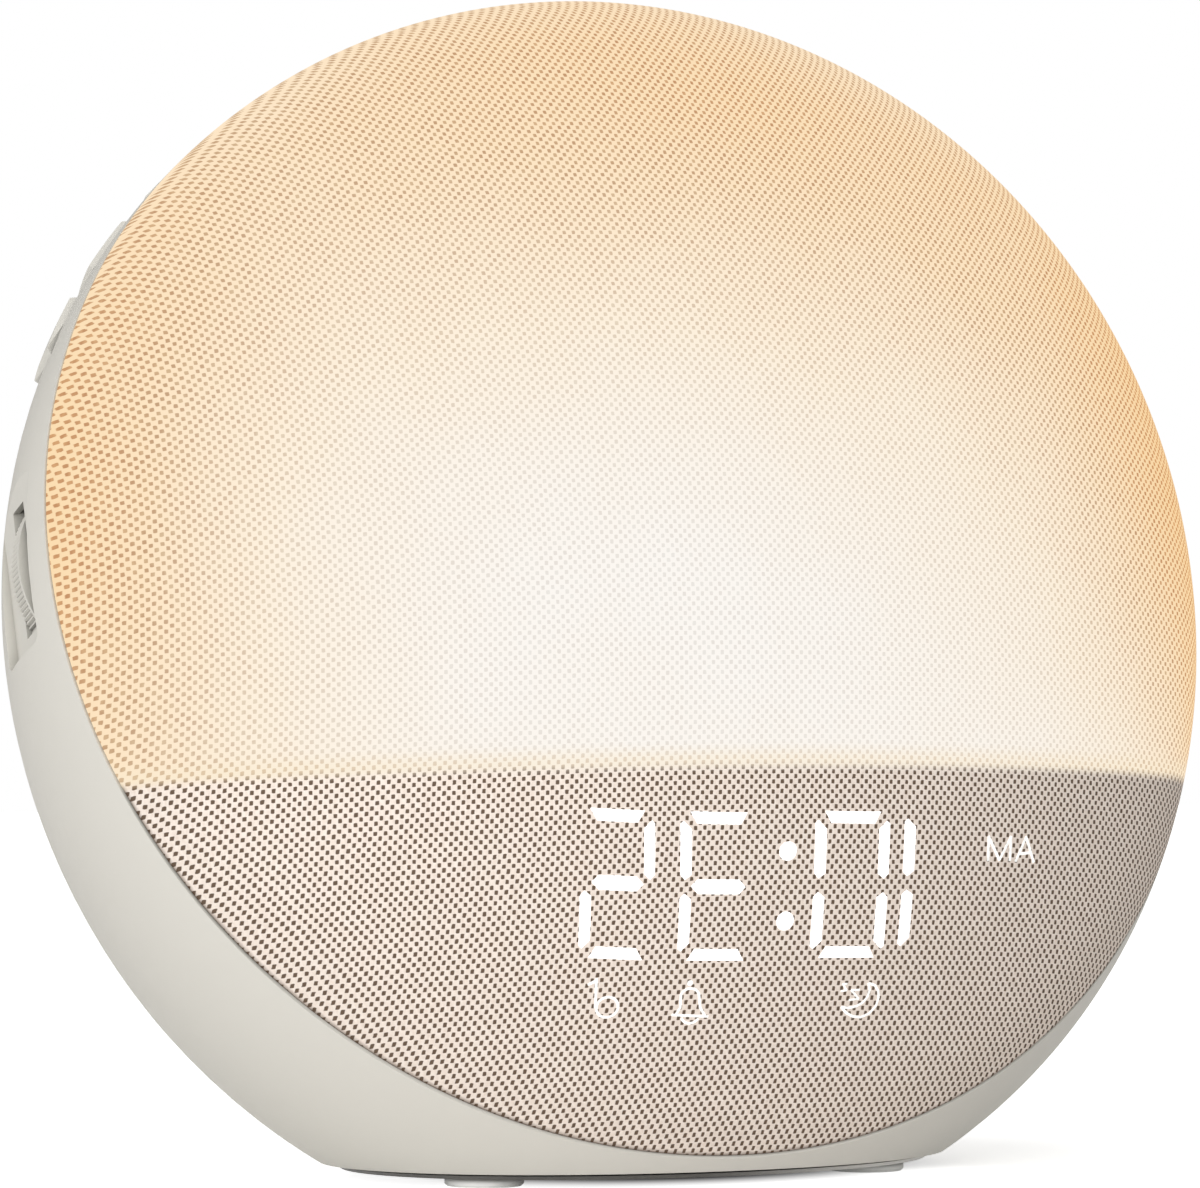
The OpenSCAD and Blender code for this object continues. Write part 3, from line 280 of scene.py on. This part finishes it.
def weave(sh, pos):
    """Plain weave over the round face: place across and up, thread height, openings from 0 to 1."""
    x = sh.dot(pos, ACROSS)
    y = sh.dot(pos, UP)
    bend = sh.wander(pos, BEND_SCALE, 3, BEND)
    jitter = sh.wander(pos, JITTER_SCALE, 2, 1.0)
    columns = sh.mul(x, sh.add(sh.mul(x, THREADS_X_CHANGE), THREADS_X))
    turn_x = sh.add(sh.add(sh.mul(columns, math.pi), bend), sh.mul(jitter, JITTER_X))
    turn_y = sh.add(sh.mul(y, math.pi * THREADS_Y), sh.mul(jitter, JITTER_Y))
    wave_x, wave_y = sh.math("COSINE", turn_x), sh.math("COSINE", turn_y)
    # the openings are a little taller than wide, and uneven like spun thread
    tall = sh.math("MAXIMUM", sh.math("MINIMUM", sh.mul(wave_y, OPENING_TALL), 1.0), -1.0)
    opening = sh.add(sh.mul(wave_x, tall), sh.wander(pos, RAGGED_SCALE, 2, RAGGED))
    return x, y, sh.mul(wave_x, wave_y), sh.smooth(opening, *OPENING_EDGE)


def glow_place(sh, x, y):
    """From 0 in the white core of the light to 1 at its warm edges: a fitted bowl over the face."""
    u = sh.mul(x, 1 / GLOW_REACH)
    v = sh.mul(y, 1 / GLOW_REACH)
    uv = sh.mul(u, v)
    sides = sh.add(sh.power_series(u, *GLOW_ACROSS), sh.power_series(v, *GLOW_UPWARDS))
    corners = GLOW_CORNERS[0]
    for place, factor in zip((u, v, uv), GLOW_CORNERS[1:]):
        corners = sh.add(sh.mul(place, factor), corners)
    bowl = sh.add(sides, sh.mul(uv, corners))
    return sh.add(bowl, GLOW_LEAST, clamp=True)


def lit_fabric(sh, pos, x, y, openings):
    """The colour of the fabric where the lamps shine through it."""
    t = sh.add(glow_place(sh, x, y), sh.wander(pos, 0.05, 3, 0.12), clamp=True)
    thread = sh.ramp(t, LIT_THREAD)
    opening = sh.ramp(t, LIT_OPENING)
    # no two openings let the same light through, which shows least in the white core
    uneven = sh.smooth(sh.noise(pos, 0.75, 1), 0.3, 0.7)
    dimming = sh.smooth(t, 0.10, 0.60, 0.07, 0.30)
    opening = sh.mix(uneven, sh.mix(dimming, opening, DIM_OPENING, "MULTIPLY"), opening)
    return sh.mix(openings, thread, opening)


def plain_fabric(sh, pos, openings):
    """The colour of the fabric below the divider, with a painted shadow line where its edge turns in at the
    seam.
    """
    heather = sh.noise(sh.vmath("MULTIPLY", pos, (1.0, 1.0, 0.35)), 2.4, 3, 0.6)
    thread = sh.mix(sh.smooth(heather, 0.25, 0.75), *PLAIN_THREAD)
    plain = sh.mix(openings, thread, PLAIN_OPENING)
    clear_of_seam_shadow = sh.smooth(sh.dot(pos, SEAM_AXIS), HEM_S - 0.1, HEM_S + 0.9)
    return sh.mix(clear_of_seam_shadow, SEAM_SHADOW_COLOR, plain)


def fabric_material():
    sh = Material("fabric_lit_from_behind")
    pos = sh.face_place()
    x, y, threads, openings = weave(sh, pos)
    lit = lit_fabric(sh, pos, x, y, openings)
    plain = plain_fabric(sh, pos, openings)
    # the edge of the light is soft because the fabric spreads it, and a warm line runs along it
    height = sh.dot(pos, (0, math.sin(SHELF_SLOPE), math.cos(SHELF_SLOPE)))
    height = sh.add(height, SHELF_DROP * math.cos(SHELF_SLOPE))
    height = sh.add(height, sh.mul(threads, -0.10))
    on = sh.smooth(height, *LIGHT_SETS_IN)
    line = sh.mul(sh.smooth(height, *LINE_LOWER), sh.smooth(height, *LINE_UPPER))
    lit = sh.mix(sh.mul(line, LINE_SHARE), lit, sh.mix(openings, DIVIDER_THREAD, DIVIDER_OPENING))
    fibres = sh.noise(sh.vmath("MULTIPLY", pos, (3.0, 3.0, 14.0)), 1.2, 3)
    relief = sh.add(sh.mul(openings, -0.5), sh.mul(fibres, 0.35))
    return sh.surface(sh.mix(on, plain, LIT_BASE), 0.9, Normal=sh.bump(relief, 0.4, RELIEF_DEPTH),
                      Specular_IOR_Level=0.08, Emission_Color=sh.mix(on, (0, 0, 0, 1), lit),
                      Emission_Strength=GLOW_STRENGTH)


FABRIC_AROUND = 384       # points round each ring
FABRIC_RINGS = 150        # rings from the front pole to the edge
RING_SPREAD = 0.94        # below 1, the rings stand closer together towards the edge
EDGE_GAP = 0.35           # from the seam to the fabric's edge
ROLL_RINGS = 6
BACK_RINGS = 2
BACK_STEP = 0.4


def edge_angle(phi):
    """The angle from the front pole at which the fabric ends, found by halving."""
    lo, hi = 0.5, math.pi
    for _ in range(40):
        mid = (lo + hi) / 2
        if (on_body(mid, phi)[0] - CENTRE).dot(SEAM_AXIS) > HEM_S + EDGE_GAP:
            lo = mid
        else:
            hi = mid
    return lo


def turned_in(point, normal, ring):
    """A ring of the edge, which rolls in round half the fabric's thickness and then goes inwards."""
    roll = FABRIC_T / 2
    away = (-SEAM_AXIS - normal * (-SEAM_AXIS).dot(normal)).normalized()
    if ring > ROLL_RINGS:
        return point - normal * (roll + BACK_STEP * (ring - ROLL_RINGS)) + away * roll, away
    a = math.pi / 2 * ring / ROLL_RINGS
    rolled = point - normal * roll * (1 - math.cos(a)) + away * roll * math.sin(a)
    return rolled, normal * math.cos(a) + away * math.sin(a)


def make_fabric():
    phis = [2 * math.pi * i / FABRIC_AROUND for i in range(FABRIC_AROUND)]
    edges = [edge_angle(phi) for phi in phis]
    placed = [on_body(0, 0)]
    for ring in range(1, FABRIC_RINGS + 1):
        share = (ring / FABRIC_RINGS) ** RING_SPREAD
        placed += [on_body(edge * share, phi) for edge, phi in zip(edges, phis)]
    for ring in range(1, ROLL_RINGS + BACK_RINGS + 1):
        placed += [turned_in(*on_body(edge, phi), ring) for edge, phi in zip(edges, phis)]

    def corner(ring, i):
        return 1 + ring * FABRIC_AROUND + i % FABRIC_AROUND

    faces = [(0, corner(0, i), corner(0, i + 1)) for i in range(FABRIC_AROUND)]
    for ring in range(FABRIC_RINGS + ROLL_RINGS + BACK_RINGS - 1):
        faces += [(corner(ring, i), corner(ring + 1, i), corner(ring + 1, i + 1), corner(ring, i + 1))
                  for i in range(FABRIC_AROUND)]
    ob = to_mesh("fabric_front", placed, faces)
    ob.data.materials.append(fabric_material())
    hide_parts("fabric_cover")
    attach(ob, "clock")


# ---------------------------------------------------------------- outlines on the display, in millimetres
def circle(centre, r, count=28):
    turns = [2 * math.pi * i / count for i in range(count)]
    return [(centre[0] + r * math.cos(a), centre[1] + r * math.sin(a)) for a in turns]


def stroke(points, w):
    """Quads of width w along a line of points, each a little longer than its stretch."""
    out = []
    for a, b in zip(points, points[1:]):
        a, b = Vector(a), Vector(b)
        half = (b - a).normalized() * (w / 2)
        side = Vector((-half.y, half.x))
        a, b = a - half * 0.4, b + half * 0.4
        out.append([tuple(a + side), tuple(a - side), tuple(b - side), tuple(b + side)])
    return out


def bow(a, b, height, w, count=14):
    """A stroke from a to b that bows out to its left by a height, as part of a circle."""
    a, b = Vector(a), Vector(b)
    mid, half = (a + b) / 2, (b - a).length / 2
    side = Vector((a.y - b.y, b.x - a.x)) / (2 * half)
    r = (half * half + height * height) / (2 * height)
    c = mid + side * (height - r)
    turn = 2 * (math.atan2(half, r - height))
    start = math.atan2(a.y - c.y, a.x - c.x)
    angles = [start - turn * i / count for i in range(count + 1)]
    return stroke([(c.x + r * math.cos(t), c.y + r * math.sin(t)) for t in angles], w)


# ---------------------------------------------------------------- digits
# a digit's middle, half the way between its side bars, a side bar's width, its slant to the side for each
# millimetre up, its tilt up for each millimetre across, the rise of its middle bar, and its lit bars: a is
# the top one, b to f follow clockwise, and g is the middle one
Digit = namedtuple("Digit", "mid half_w bar_w slant tilt rise bars")
DIGITS = [
    Digit(-22.02, 3.90, 1.36, -0.073, -0.012, 0.25, "abged"),
    Digit(-9.28, 4.27, 1.46, -0.068, 0.0, 0.05, "afged"),
    Digit(8.93, 4.60, 1.62, -0.055, -0.035, 0.0, "afbecd"),
    Digit(22.12, 4.80, 1.72, -0.047, 0.0, 0.0, "fe"),
]
DIGIT_MID = -23.0         # height of the digits' middle
DIGIT_TOP = 9.3           # from the middle to the top
FLAT_BAR_T = 1.5
FLAT_BAR_CUTS = (0.55, 1.42)  # how far its ends stay inside the side bars' middles, outside and inside
MIDDLE_BAR_T = 1.85
COLON = [(-0.42, -18.5), (0.09, -27.3)]
COLON_R = 1.2


def flat_bar(w, side):
    """The top bar (side 1) or the bottom one (side -1), with its ends cut back."""
    outer, inner = side * DIGIT_TOP, side * (DIGIT_TOP - FLAT_BAR_T)
    outer_w, inner_w = (w - cut for cut in FLAT_BAR_CUTS)
    return [(-outer_w, outer), (outer_w, outer), (inner_w, inner), (-inner_w, inner)]


def middle_bar(w, rise):
    half = MIDDLE_BAR_T / 2
    return [(-w + 0.68, rise), (-w + 1.55, rise + half), (w - 1.6, rise + half),
            (w - 0.72, rise), (w - 1.55, rise - half), (-w + 1.6, rise - half)]


def side_bar(w, t, side, up):
    """A left (side -1) or right bar of the upper or lower half (up -1), pointed at both ends."""
    outer, inner = side * (w + t / 2), side * (w - t / 2)
    return [(outer, up * 7.8), (side * (w + 0.22 * t), up * 8.15), (inner, up * 7.1),
            (inner, up * 1.5), (side * (w + 0.08 * t), up * 0.85), (outer, up * 1.5)]


def bar_outline(digit, bar):
    if bar in "ad":
        return flat_bar(digit.half_w, 1 if bar == "a" else -1)
    if bar == "g":
        return middle_bar(digit.half_w, digit.rise)
    return side_bar(digit.half_w, digit.bar_w, 1 if bar in "bc" else -1, 1 if bar in "bf" else -1)


def digit_outlines(digit):
    return [[(digit.mid + x + digit.slant * y, DIGIT_MID + y + digit.tilt * x)
             for x, y in bar_outline(digit, bar)] for bar in digit.bars]


# ---------------------------------------------------------------- marks
LINE_W = 0.34
SLEEP_LINE_W = 0.28
HALF_DAY_LINE_W = 0.42
HALF_DAY_BAR_W = 0.38


def half_day_mark():
    first = [(29.95, -20.9), (29.7, -17.85), (31.86, -21.0), (33.55, -18.15), (33.7, -21.2)]
    second = [(34.75, -21.4), (36.22, -18.4), (38.0, -21.8)]
    out = stroke(first, HALF_DAY_LINE_W) + stroke(second, HALF_DAY_LINE_W)
    return out + stroke([(35.4, -20.48), (37.2, -20.52)], HALF_DAY_BAR_W)


def note_mark():
    out = [[(-24.35, -35.55), (-23.2, -34.8), (-23.2, -35.3), (-24.2, -35.85)]]
    out += stroke([(-23.3, -34.9), (-22.95, -38.6)], LINE_W)
    left, right = (-22.83, -38.5), (-20.15, -38.5)
    return out + bow(left, right, 1.32, LINE_W) + bow(right, left, 1.32, LINE_W)


def bell_mark():
    left, right = (-12.45, -36.7), (-10.12, -36.7)
    out = [circle((-11.5, -35.2), 0.38, 14)]
    out += bow(left, right, 0.82, LINE_W)
    out += stroke([left, (-12.3, -38.4), (-12.75, -39.35)], LINE_W)
    out += stroke([right, (-9.7, -38.4), (-8.95, -39.4)], LINE_W)
    out += stroke([(-13.2, -39.35), (-8.5, -39.55)], LINE_W)
    return out + bow((-9.75, -39.85), (-11.9, -39.8), 0.62, LINE_W)


def moon_mark():
    """The moon's round back, its hollow side, and two sleep marks over it."""
    back = [(13.4, -35.8), (14.35, -36.15), (14.95, -36.9), (15.2, -37.8), (15.0, -38.9),
            (14.2, -39.85), (13.0, -40.3), (11.8, -40.15), (10.7, -39.6), (9.85, -38.8)]
    hollow = [(13.3, -35.8), (13.65, -36.7), (13.5, -37.6), (12.9, -38.35), (12.0, -38.8),
              (10.9, -38.95), (9.85, -38.8)]
    out = stroke(back, LINE_W) + stroke(hollow, LINE_W)
    out += stroke([(10.15, -35.75), (9.5, -35.7), (10.2, -36.6), (9.4, -36.65)], SLEEP_LINE_W)
    return out + stroke([(12.1, -36.6), (10.9, -36.6), (12.2, -37.8), (10.8, -37.9)], SLEEP_LINE_W)


# ---------------------------------------------------------------- light on the fabric
LIGHT_PROUD = 0.04        # how far the lit shapes stand off the fabric
LIGHT_EDGE = 0.6          # longer edges in a lit shape are split, so that it bends with the fabric
FIRST_DISTANCE = 60.0     # where the search along a ray starts


def onto_fabric(u, v):
    """Where a ray along the display's axis meets the fabric, raised a little, with the normal."""
    d = FIRST_DISTANCE
    for _ in range(12):
        p = ACROSS * u + DISPLAY_UP * v + DISPLAY_AXIS * d
        y, z = p.dot(UP), p.dot(FORWARD)
        r = math.hypot(p.x, y)
        if r * DOME_C < RIM_C * (z + DOME_C):
            gap = math.hypot(r, z + DOME_C) - DOME_R
            n = (ACROSS * p.x + UP * y + FORWARD * (z + DOME_C)).normalized()
        else:
            gap = math.hypot(r - RIM_C, z) - RIM_R
            n = ((ACROSS * p.x + UP * y) * ((r - RIM_C) / r) + FORWARD * z).normalized()
        d -= (gap - LIGHT_PROUD) / max(n.dot(DISPLAY_AXIS), 0.3)
    return CENTRE + p, n


def on_fabric(name, outlines, material):
    """Thin pieces that follow the fabric, one for each outline."""
    bm = bmesh.new()
    for outline in outlines:
        bm.faces.new([bm.verts.new((x, y, 0)) for x, y in outline])
    bmesh.ops.triangulate(bm, faces=bm.faces[:])
    for _ in range(3):
        long_edges = [e for e in bm.edges if e.calc_length() > LIGHT_EDGE]
        if not long_edges:
            break
        bmesh.ops.subdivide_edges(bm, edges=long_edges, cuts=1)
        bmesh.ops.triangulate(bm, faces=bm.faces[:])
    placed = [onto_fabric(v.co.x, v.co.y) for v in bm.verts]
    bm.verts.index_update()
    faces = []
    for face in bm.faces:
        corners = [v.index for v in face.verts]
        a, b, c = (placed[i][0] for i in corners)
        # every face looks outwards
        if (b - a).cross(c - a).dot(placed[corners[0]][1]) < 0:
            corners.reverse()
        faces.append(corners)
    bm.free()
    ob = to_mesh(name, placed, faces)
    ob.data.materials.append(material)
    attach(ob, "clock")


def light_on_fabric(name, base, light, in_openings, dimming, strength):
    """Light that shines through the fabric, dimmed by a share in its openings."""
    sh = Material(name)
    openings = weave(sh, sh.face_place())[-1]
    color = sh.mix(sh.mul(openings, dimming), light, in_openings)
    return sh.surface((base, base, base, 1), 0.8, Specular_IOR_Level=0.1, Emission_Color=color,
                      Emission_Strength=strength)


def digit_material():
    return light_on_fabric("digit_light_through_fabric", 0.5, (1.0, 1.0, 1.0, 1), (0.80, 0.80, 0.79, 1),
                           dimming=0.10, strength=0.95)


def mark_material():
    return light_on_fabric("mark_light_through_fabric", 0.4, (0.97, 0.97, 0.94, 1), (0.45, 0.42, 0.38, 1),
                           dimming=0.30, strength=0.80)


def make_digits():
    outlines = [outline for digit in DIGITS for outline in digit_outlines(digit)]
    on_fabric("lit_digits", outlines + [circle(dot, COLON_R) for dot in COLON], digit_material())


def make_marks():
    on_fabric("lit_marks", half_day_mark() + note_mark() + bell_mark() + moon_mark(), mark_material())


# ---------------------------------------------------------------- finishes of the solids and painted shading
GRAIN_DEPTH = 0.00012     # metres, as the next two
CREVICE_SHADE_REACH = 0.004
FLOOR_SHADE_H = (0.02, 0.035)


def painted_crevice_shade(sh, p, color, share):
    """Painted shade in slots and gaps, to a share of the colour, but not near the floor, where the shadow
    is real.
    """
    ao = sh.fill(sh.node("ShaderNodeAmbientOcclusion", samples=16), Distance=CREVICE_SHADE_REACH)
    deep = sh.mix(1.0, color, (share, share, share * 0.97, 1), "MULTIPLY")
    near_floor = sh.smooth(sh.dot(p, (0, 0, 1)), *FLOOR_SHADE_H, 1.0, 0.0)
    return sh.mix(sh.math("MAXIMUM", sh.smooth(ao.outputs["AO"], 0.30, 0.80), near_floor), deep, color)


def moulded(name, color, rough, grain=900.0, strength=0.12, mottled=0.06, crevice_shade=None, painted_shading=None):
    """Fine-grained plastic, rubber or paper.

    grain is how fine the grain is and strength how deep, mottled how far the colour varies, crevice_shade
    how dark the painted shade in slots gets, and painted_shading an axis, two places along it in metres
    and the colour beyond them, for painted light or shade along that axis.
    """
    sh = Material(name)
    p = sh.place()
    fine = sh.noise(p, grain, 3, 0.6)
    col = sh.mix(sh.mul(sh.noise(p, 18.0, 2), 0.8), color, scaled(color, 1 - mottled))
    # painted light or shade: the colour changes along an axis
    if painted_shading:
        axis, lo, hi, far_color = painted_shading
        col = sh.mix(sh.smooth(sh.dot(p, axis), lo, hi), col, far_color)
    # painted shade, darker in slots and gaps
    if crevice_shade:
        col = painted_crevice_shade(sh, p, col, crevice_shade)
    return sh.surface(col, sh.smooth(fine, 0.2, 0.8, rough - 0.06, rough + 0.08),
                      Normal=sh.bump(fine, strength, GRAIN_DEPTH), Specular_IOR_Level=0.4)


def metal(name, color, rough):
    """Metal with fine lines along its surface."""
    sh = Material(name)
    lines = sh.noise(sh.vmath("MULTIPLY", sh.place(), (1, 1, 9)), 400.0, 4, 0.6)
    col = sh.mix(sh.mul(lines, 0.3), color, scaled(color, 0.7))
    return sh.surface(col, sh.smooth(lines, 0.2, 0.8, rough - 0.1, rough + 0.12), Metallic=1.0)


# the base is painted dark on the left, as painted shade, and light on the right, as a painted reflection;
# the feet are pale at the floor and painted dark above, as painted shade under the base
BASE_PAINTED_LIGHT = ((1, 0, 0), -0.004, 0.03, srgb(226, 224, 219))
FOOT_PAINTED_SHADE = ((0, 0, 1), 0.0005, 0.0012, srgb(112, 111, 108))


def make_looks():
    """A material for each material slot of the CAD's nodes."""
    return {
        "housing": moulded("housing_matt_plastic", srgb(216, 213, 205), 0.62, strength=0.05, crevice_shade=0.5),
        "base": moulded("base_matt_plastic", srgb(84, 82, 78), 0.55, painted_shading=BASE_PAINTED_LIGHT),
        "button": moulded("button_matt_plastic", srgb(214, 211, 203), 0.55, strength=0.03, crevice_shade=0.35),
        "frame_plastic": moulded("frame_plastic", srgb(222, 220, 213), 0.5),
        "white_plastic": moulded("white_plastic", srgb(242, 241, 237), 0.45),
        "white_board": moulded("white_solder_mask", srgb(238, 240, 235), 0.35, 500, 0.05),
        "diffuser": moulded("milky_dome", srgb(247, 243, 233), 0.4, 600, 0.05),
        "led": moulded("lamp_phosphor", srgb(247, 231, 160), 0.3, 800, 0.03),
        "mask_film": moulded("printed_film", srgb(58, 54, 51), 0.4, 700, 0.04),
        "segment": moulded("light_guide", srgb(250, 250, 246), 0.3, 500, 0.03),
        "board": moulded("green_solder_mask", srgb(32, 82, 52), 0.35, 400, 0.1, mottled=0.16),
        "chip": moulded("chip_epoxy", srgb(32, 32, 34), 0.5, 1200, 0.1),
        "foot_rubber": moulded("foot_rubber", srgb(246, 246, 243), 0.7, 700, 0.2, painted_shading=FOOT_PAINTED_SHADE),
        "plunger": moulded("plunger_plastic", srgb(30, 30, 30), 0.4),
        "cone_paper": moulded("cone_paper", srgb(36, 36, 38), 0.8, 300, 0.4),
        "surround": moulded("surround_rubber", srgb(26, 26, 28), 0.6),
        "gasket": moulded("gasket_foam", srgb(48, 48, 48), 0.95, 1500, 0.6),
        "capacitor": moulded("capacitor_sleeve", srgb(42, 48, 56), 0.3),
        "socket_plastic": moulded("socket_plastic", srgb(26, 26, 26), 0.3),
        "magnet": moulded("magnet_ferrite", srgb(62, 62, 64), 0.7, 300, 0.3),
        "speaker_metal": metal("speaker_steel", srgb(140, 140, 144), 0.4),
        "screw": metal("screw_zinc", srgb(196, 196, 196), 0.3),
        "switch": metal("switch_steel", srgb(200, 200, 198), 0.3),
        "shaft": metal("shaft_steel", srgb(170, 170, 168), 0.25),
        "cell_steel": metal("cell_steel", srgb(208, 208, 206), 0.2),
        "fabric": moulded("fabric_core", srgb(236, 222, 205), 0.9),
    }


def finish_nodes():
    looks = make_looks()
    slot_of = {part["node"]: part["material_slot"] for part in frame["record"]["subparts"]}
    for name, ob in frame["nodes"].items():
        ob.data.materials.clear()
        ob.data.materials.append(looks[slot_of[name]])


# ---------------------------------------------------------------- floor, room, light and camera
FLOOR_HALF = 3.0          # metres
FLOOR_COLOR = (0.93, 0.93, 0.925, 1)
# the floor is shown white to the camera and in reflections by painted light, which fades out in an oval
# under the base, where the real shadow shows, and is weaker behind the clock than on its lit side
SHADOW_X = 0.0035         # middle and half sizes of the oval of shadow under the base, in metres
SHADOW_HALF = (0.0435, 0.028)
SHADOW_FADES = (0.42, 0.86)  # shares of that oval between which its shadow fades
FAR_STARTS = (1.3, 2.6)   # the same shares, for the floor far from the clock
LIT_SIDE = (-0.02, 0.0)   # metres from the oval's middle towards the light
WHITE_BEHIND = 0.56       # how white the floor is shown behind the clock, on its lit side and far off
WHITE_LIT_SIDE = 0.88
WHITE_FAR = 0.82
ROOM_COLOR = (1.0, 0.995, 0.985, 1)
ROOM_LIGHT = 0.46

KEY_TURN = math.radians(40)
KEY_FAR = 1.5             # metres, as the next two
KEY_H = 0.30
KEY_SIDE = 1.2
KEY_POWER = 21.5
KEY_TARGET = Vector((0, 0, 0.07))
TOWARDS_KEY = Vector((-math.sin(KEY_TURN), -math.cos(KEY_TURN), 0))

CAMERA_AZIMUTH = math.radians(-24.8249)
CAMERA_ELEVATION = math.radians(-1.6415)
CAMERA_PLACE = (-0.27890, -0.59798, (CENTRE_H - 15.84) * MM)
CAMERA_LENS = 150.408


def floor_material():
    """Painted light shows it white to the camera, fading out under the base, where the real shadow is kept,
    weaker behind it.
    """
    sh = Material("white_floor")
    path = sh.node("ShaderNodeLightPath").outputs
    seen = sh.math("MAXIMUM", path["Is Glossy Ray"], path["Is Transmission Ray"])
    seen = sh.math("MAXIMUM", path["Is Camera Ray"], seen)
    p = sh.vmath("SUBTRACT", sh.place(), (SHADOW_X, BASE_Y * MM, 0))
    q = sh.length(sh.vmath("MULTIPLY", p, (1 / SHADOW_HALF[0], 1 / SHADOW_HALF[1], 0)))
    # painted light: none inside the oval, weaker behind the clock than on its lit side, a set level far off
    near = sh.smooth(sh.dot(p, TOWARDS_KEY), *LIT_SIDE, WHITE_BEHIND, WHITE_LIT_SIDE)
    level = sh.add(near, sh.mul(sh.smooth(q, *FAR_STARTS), sh.sub(WHITE_FAR, near)))
    shown = sh.mul(seen, sh.mul(sh.smooth(q, *SHADOW_FADES), level))
    diffuse = sh.node("ShaderNodeBsdfDiffuse", FLOOR_COLOR)
    white = sh.node("ShaderNodeEmission", (1, 1, 1, 1), shown)
    both = sh.node("ShaderNodeAddShader", diffuse.outputs[0], white.outputs[0])
    sh.put(sh.out, both.outputs[0])
    return sh.material


def make_floor():
    s = FLOOR_HALF
    mesh = bpy.data.meshes.new("floor")
    mesh.from_pydata([(-s, -s, 0), (s, -s, 0), (s, s, 0), (-s, s, 0)], [], [(0, 1, 2, 3)])
    mesh.materials.append(floor_material())
    floor = bpy.data.objects.new("floor", mesh)
    scene.collection.objects.link(floor)


def make_room():
    """An even pale room that the camera sees as white."""
    world = bpy.data.worlds.new("studio")
    scene.world = world
    sh = Nodes(world, "ShaderNodeOutputWorld")
    path = sh.node("ShaderNodeLightPath").outputs
    seen = sh.math("MAXIMUM", path["Is Camera Ray"], path["Is Transmission Ray"])
    room = sh.node("ShaderNodeBackground", ROOM_COLOR, ROOM_LIGHT)
    white = sh.node("ShaderNodeBackground", (1, 1, 1, 1), 1.0)
    sh.put(sh.out, sh.node("ShaderNodeMixShader", seen, room.outputs[0], white.outputs[0]).outputs[0])


def make_key_light():
    """One large soft window of light from the front left, low."""
    data = bpy.data.lights.new("key", "AREA")
    data.shape = "RECTANGLE"
    data.size = KEY_SIDE
    data.size_y = KEY_SIDE
    data.energy = KEY_POWER
    key = bpy.data.objects.new("key", data)
    key.location = TOWARDS_KEY * KEY_FAR + Vector((0, 0, KEY_H))
    key.rotation_euler = (KEY_TARGET - key.location).to_track_quat("-Z", "Y").to_euler()
    scene.collection.objects.link(key)


def make_camera():
    az, el = CAMERA_AZIMUTH, CAMERA_ELEVATION
    back = Vector((math.sin(az) * math.cos(el), -math.cos(az) * math.cos(el), math.sin(el)))
    right = Vector((math.cos(az), math.sin(az), 0))
    data = bpy.data.cameras.new("photo_camera")
    data.lens = CAMERA_LENS
    data.sensor_width = 36.0
    data.clip_start = 0.01
    camera = bpy.data.objects.new("photo_camera", data)
    turn = Matrix((right, back.cross(right), back)).transposed().to_4x4()
    camera.matrix_world = Matrix.Translation(CAMERA_PLACE) @ turn
    scene.collection.objects.link(camera)
    scene.camera = camera


scene.view_settings.view_transform = "Standard"
finish_nodes()
make_fabric()
make_digits()
make_marks()
make_floor()
make_room()
make_key_light()
make_camera()
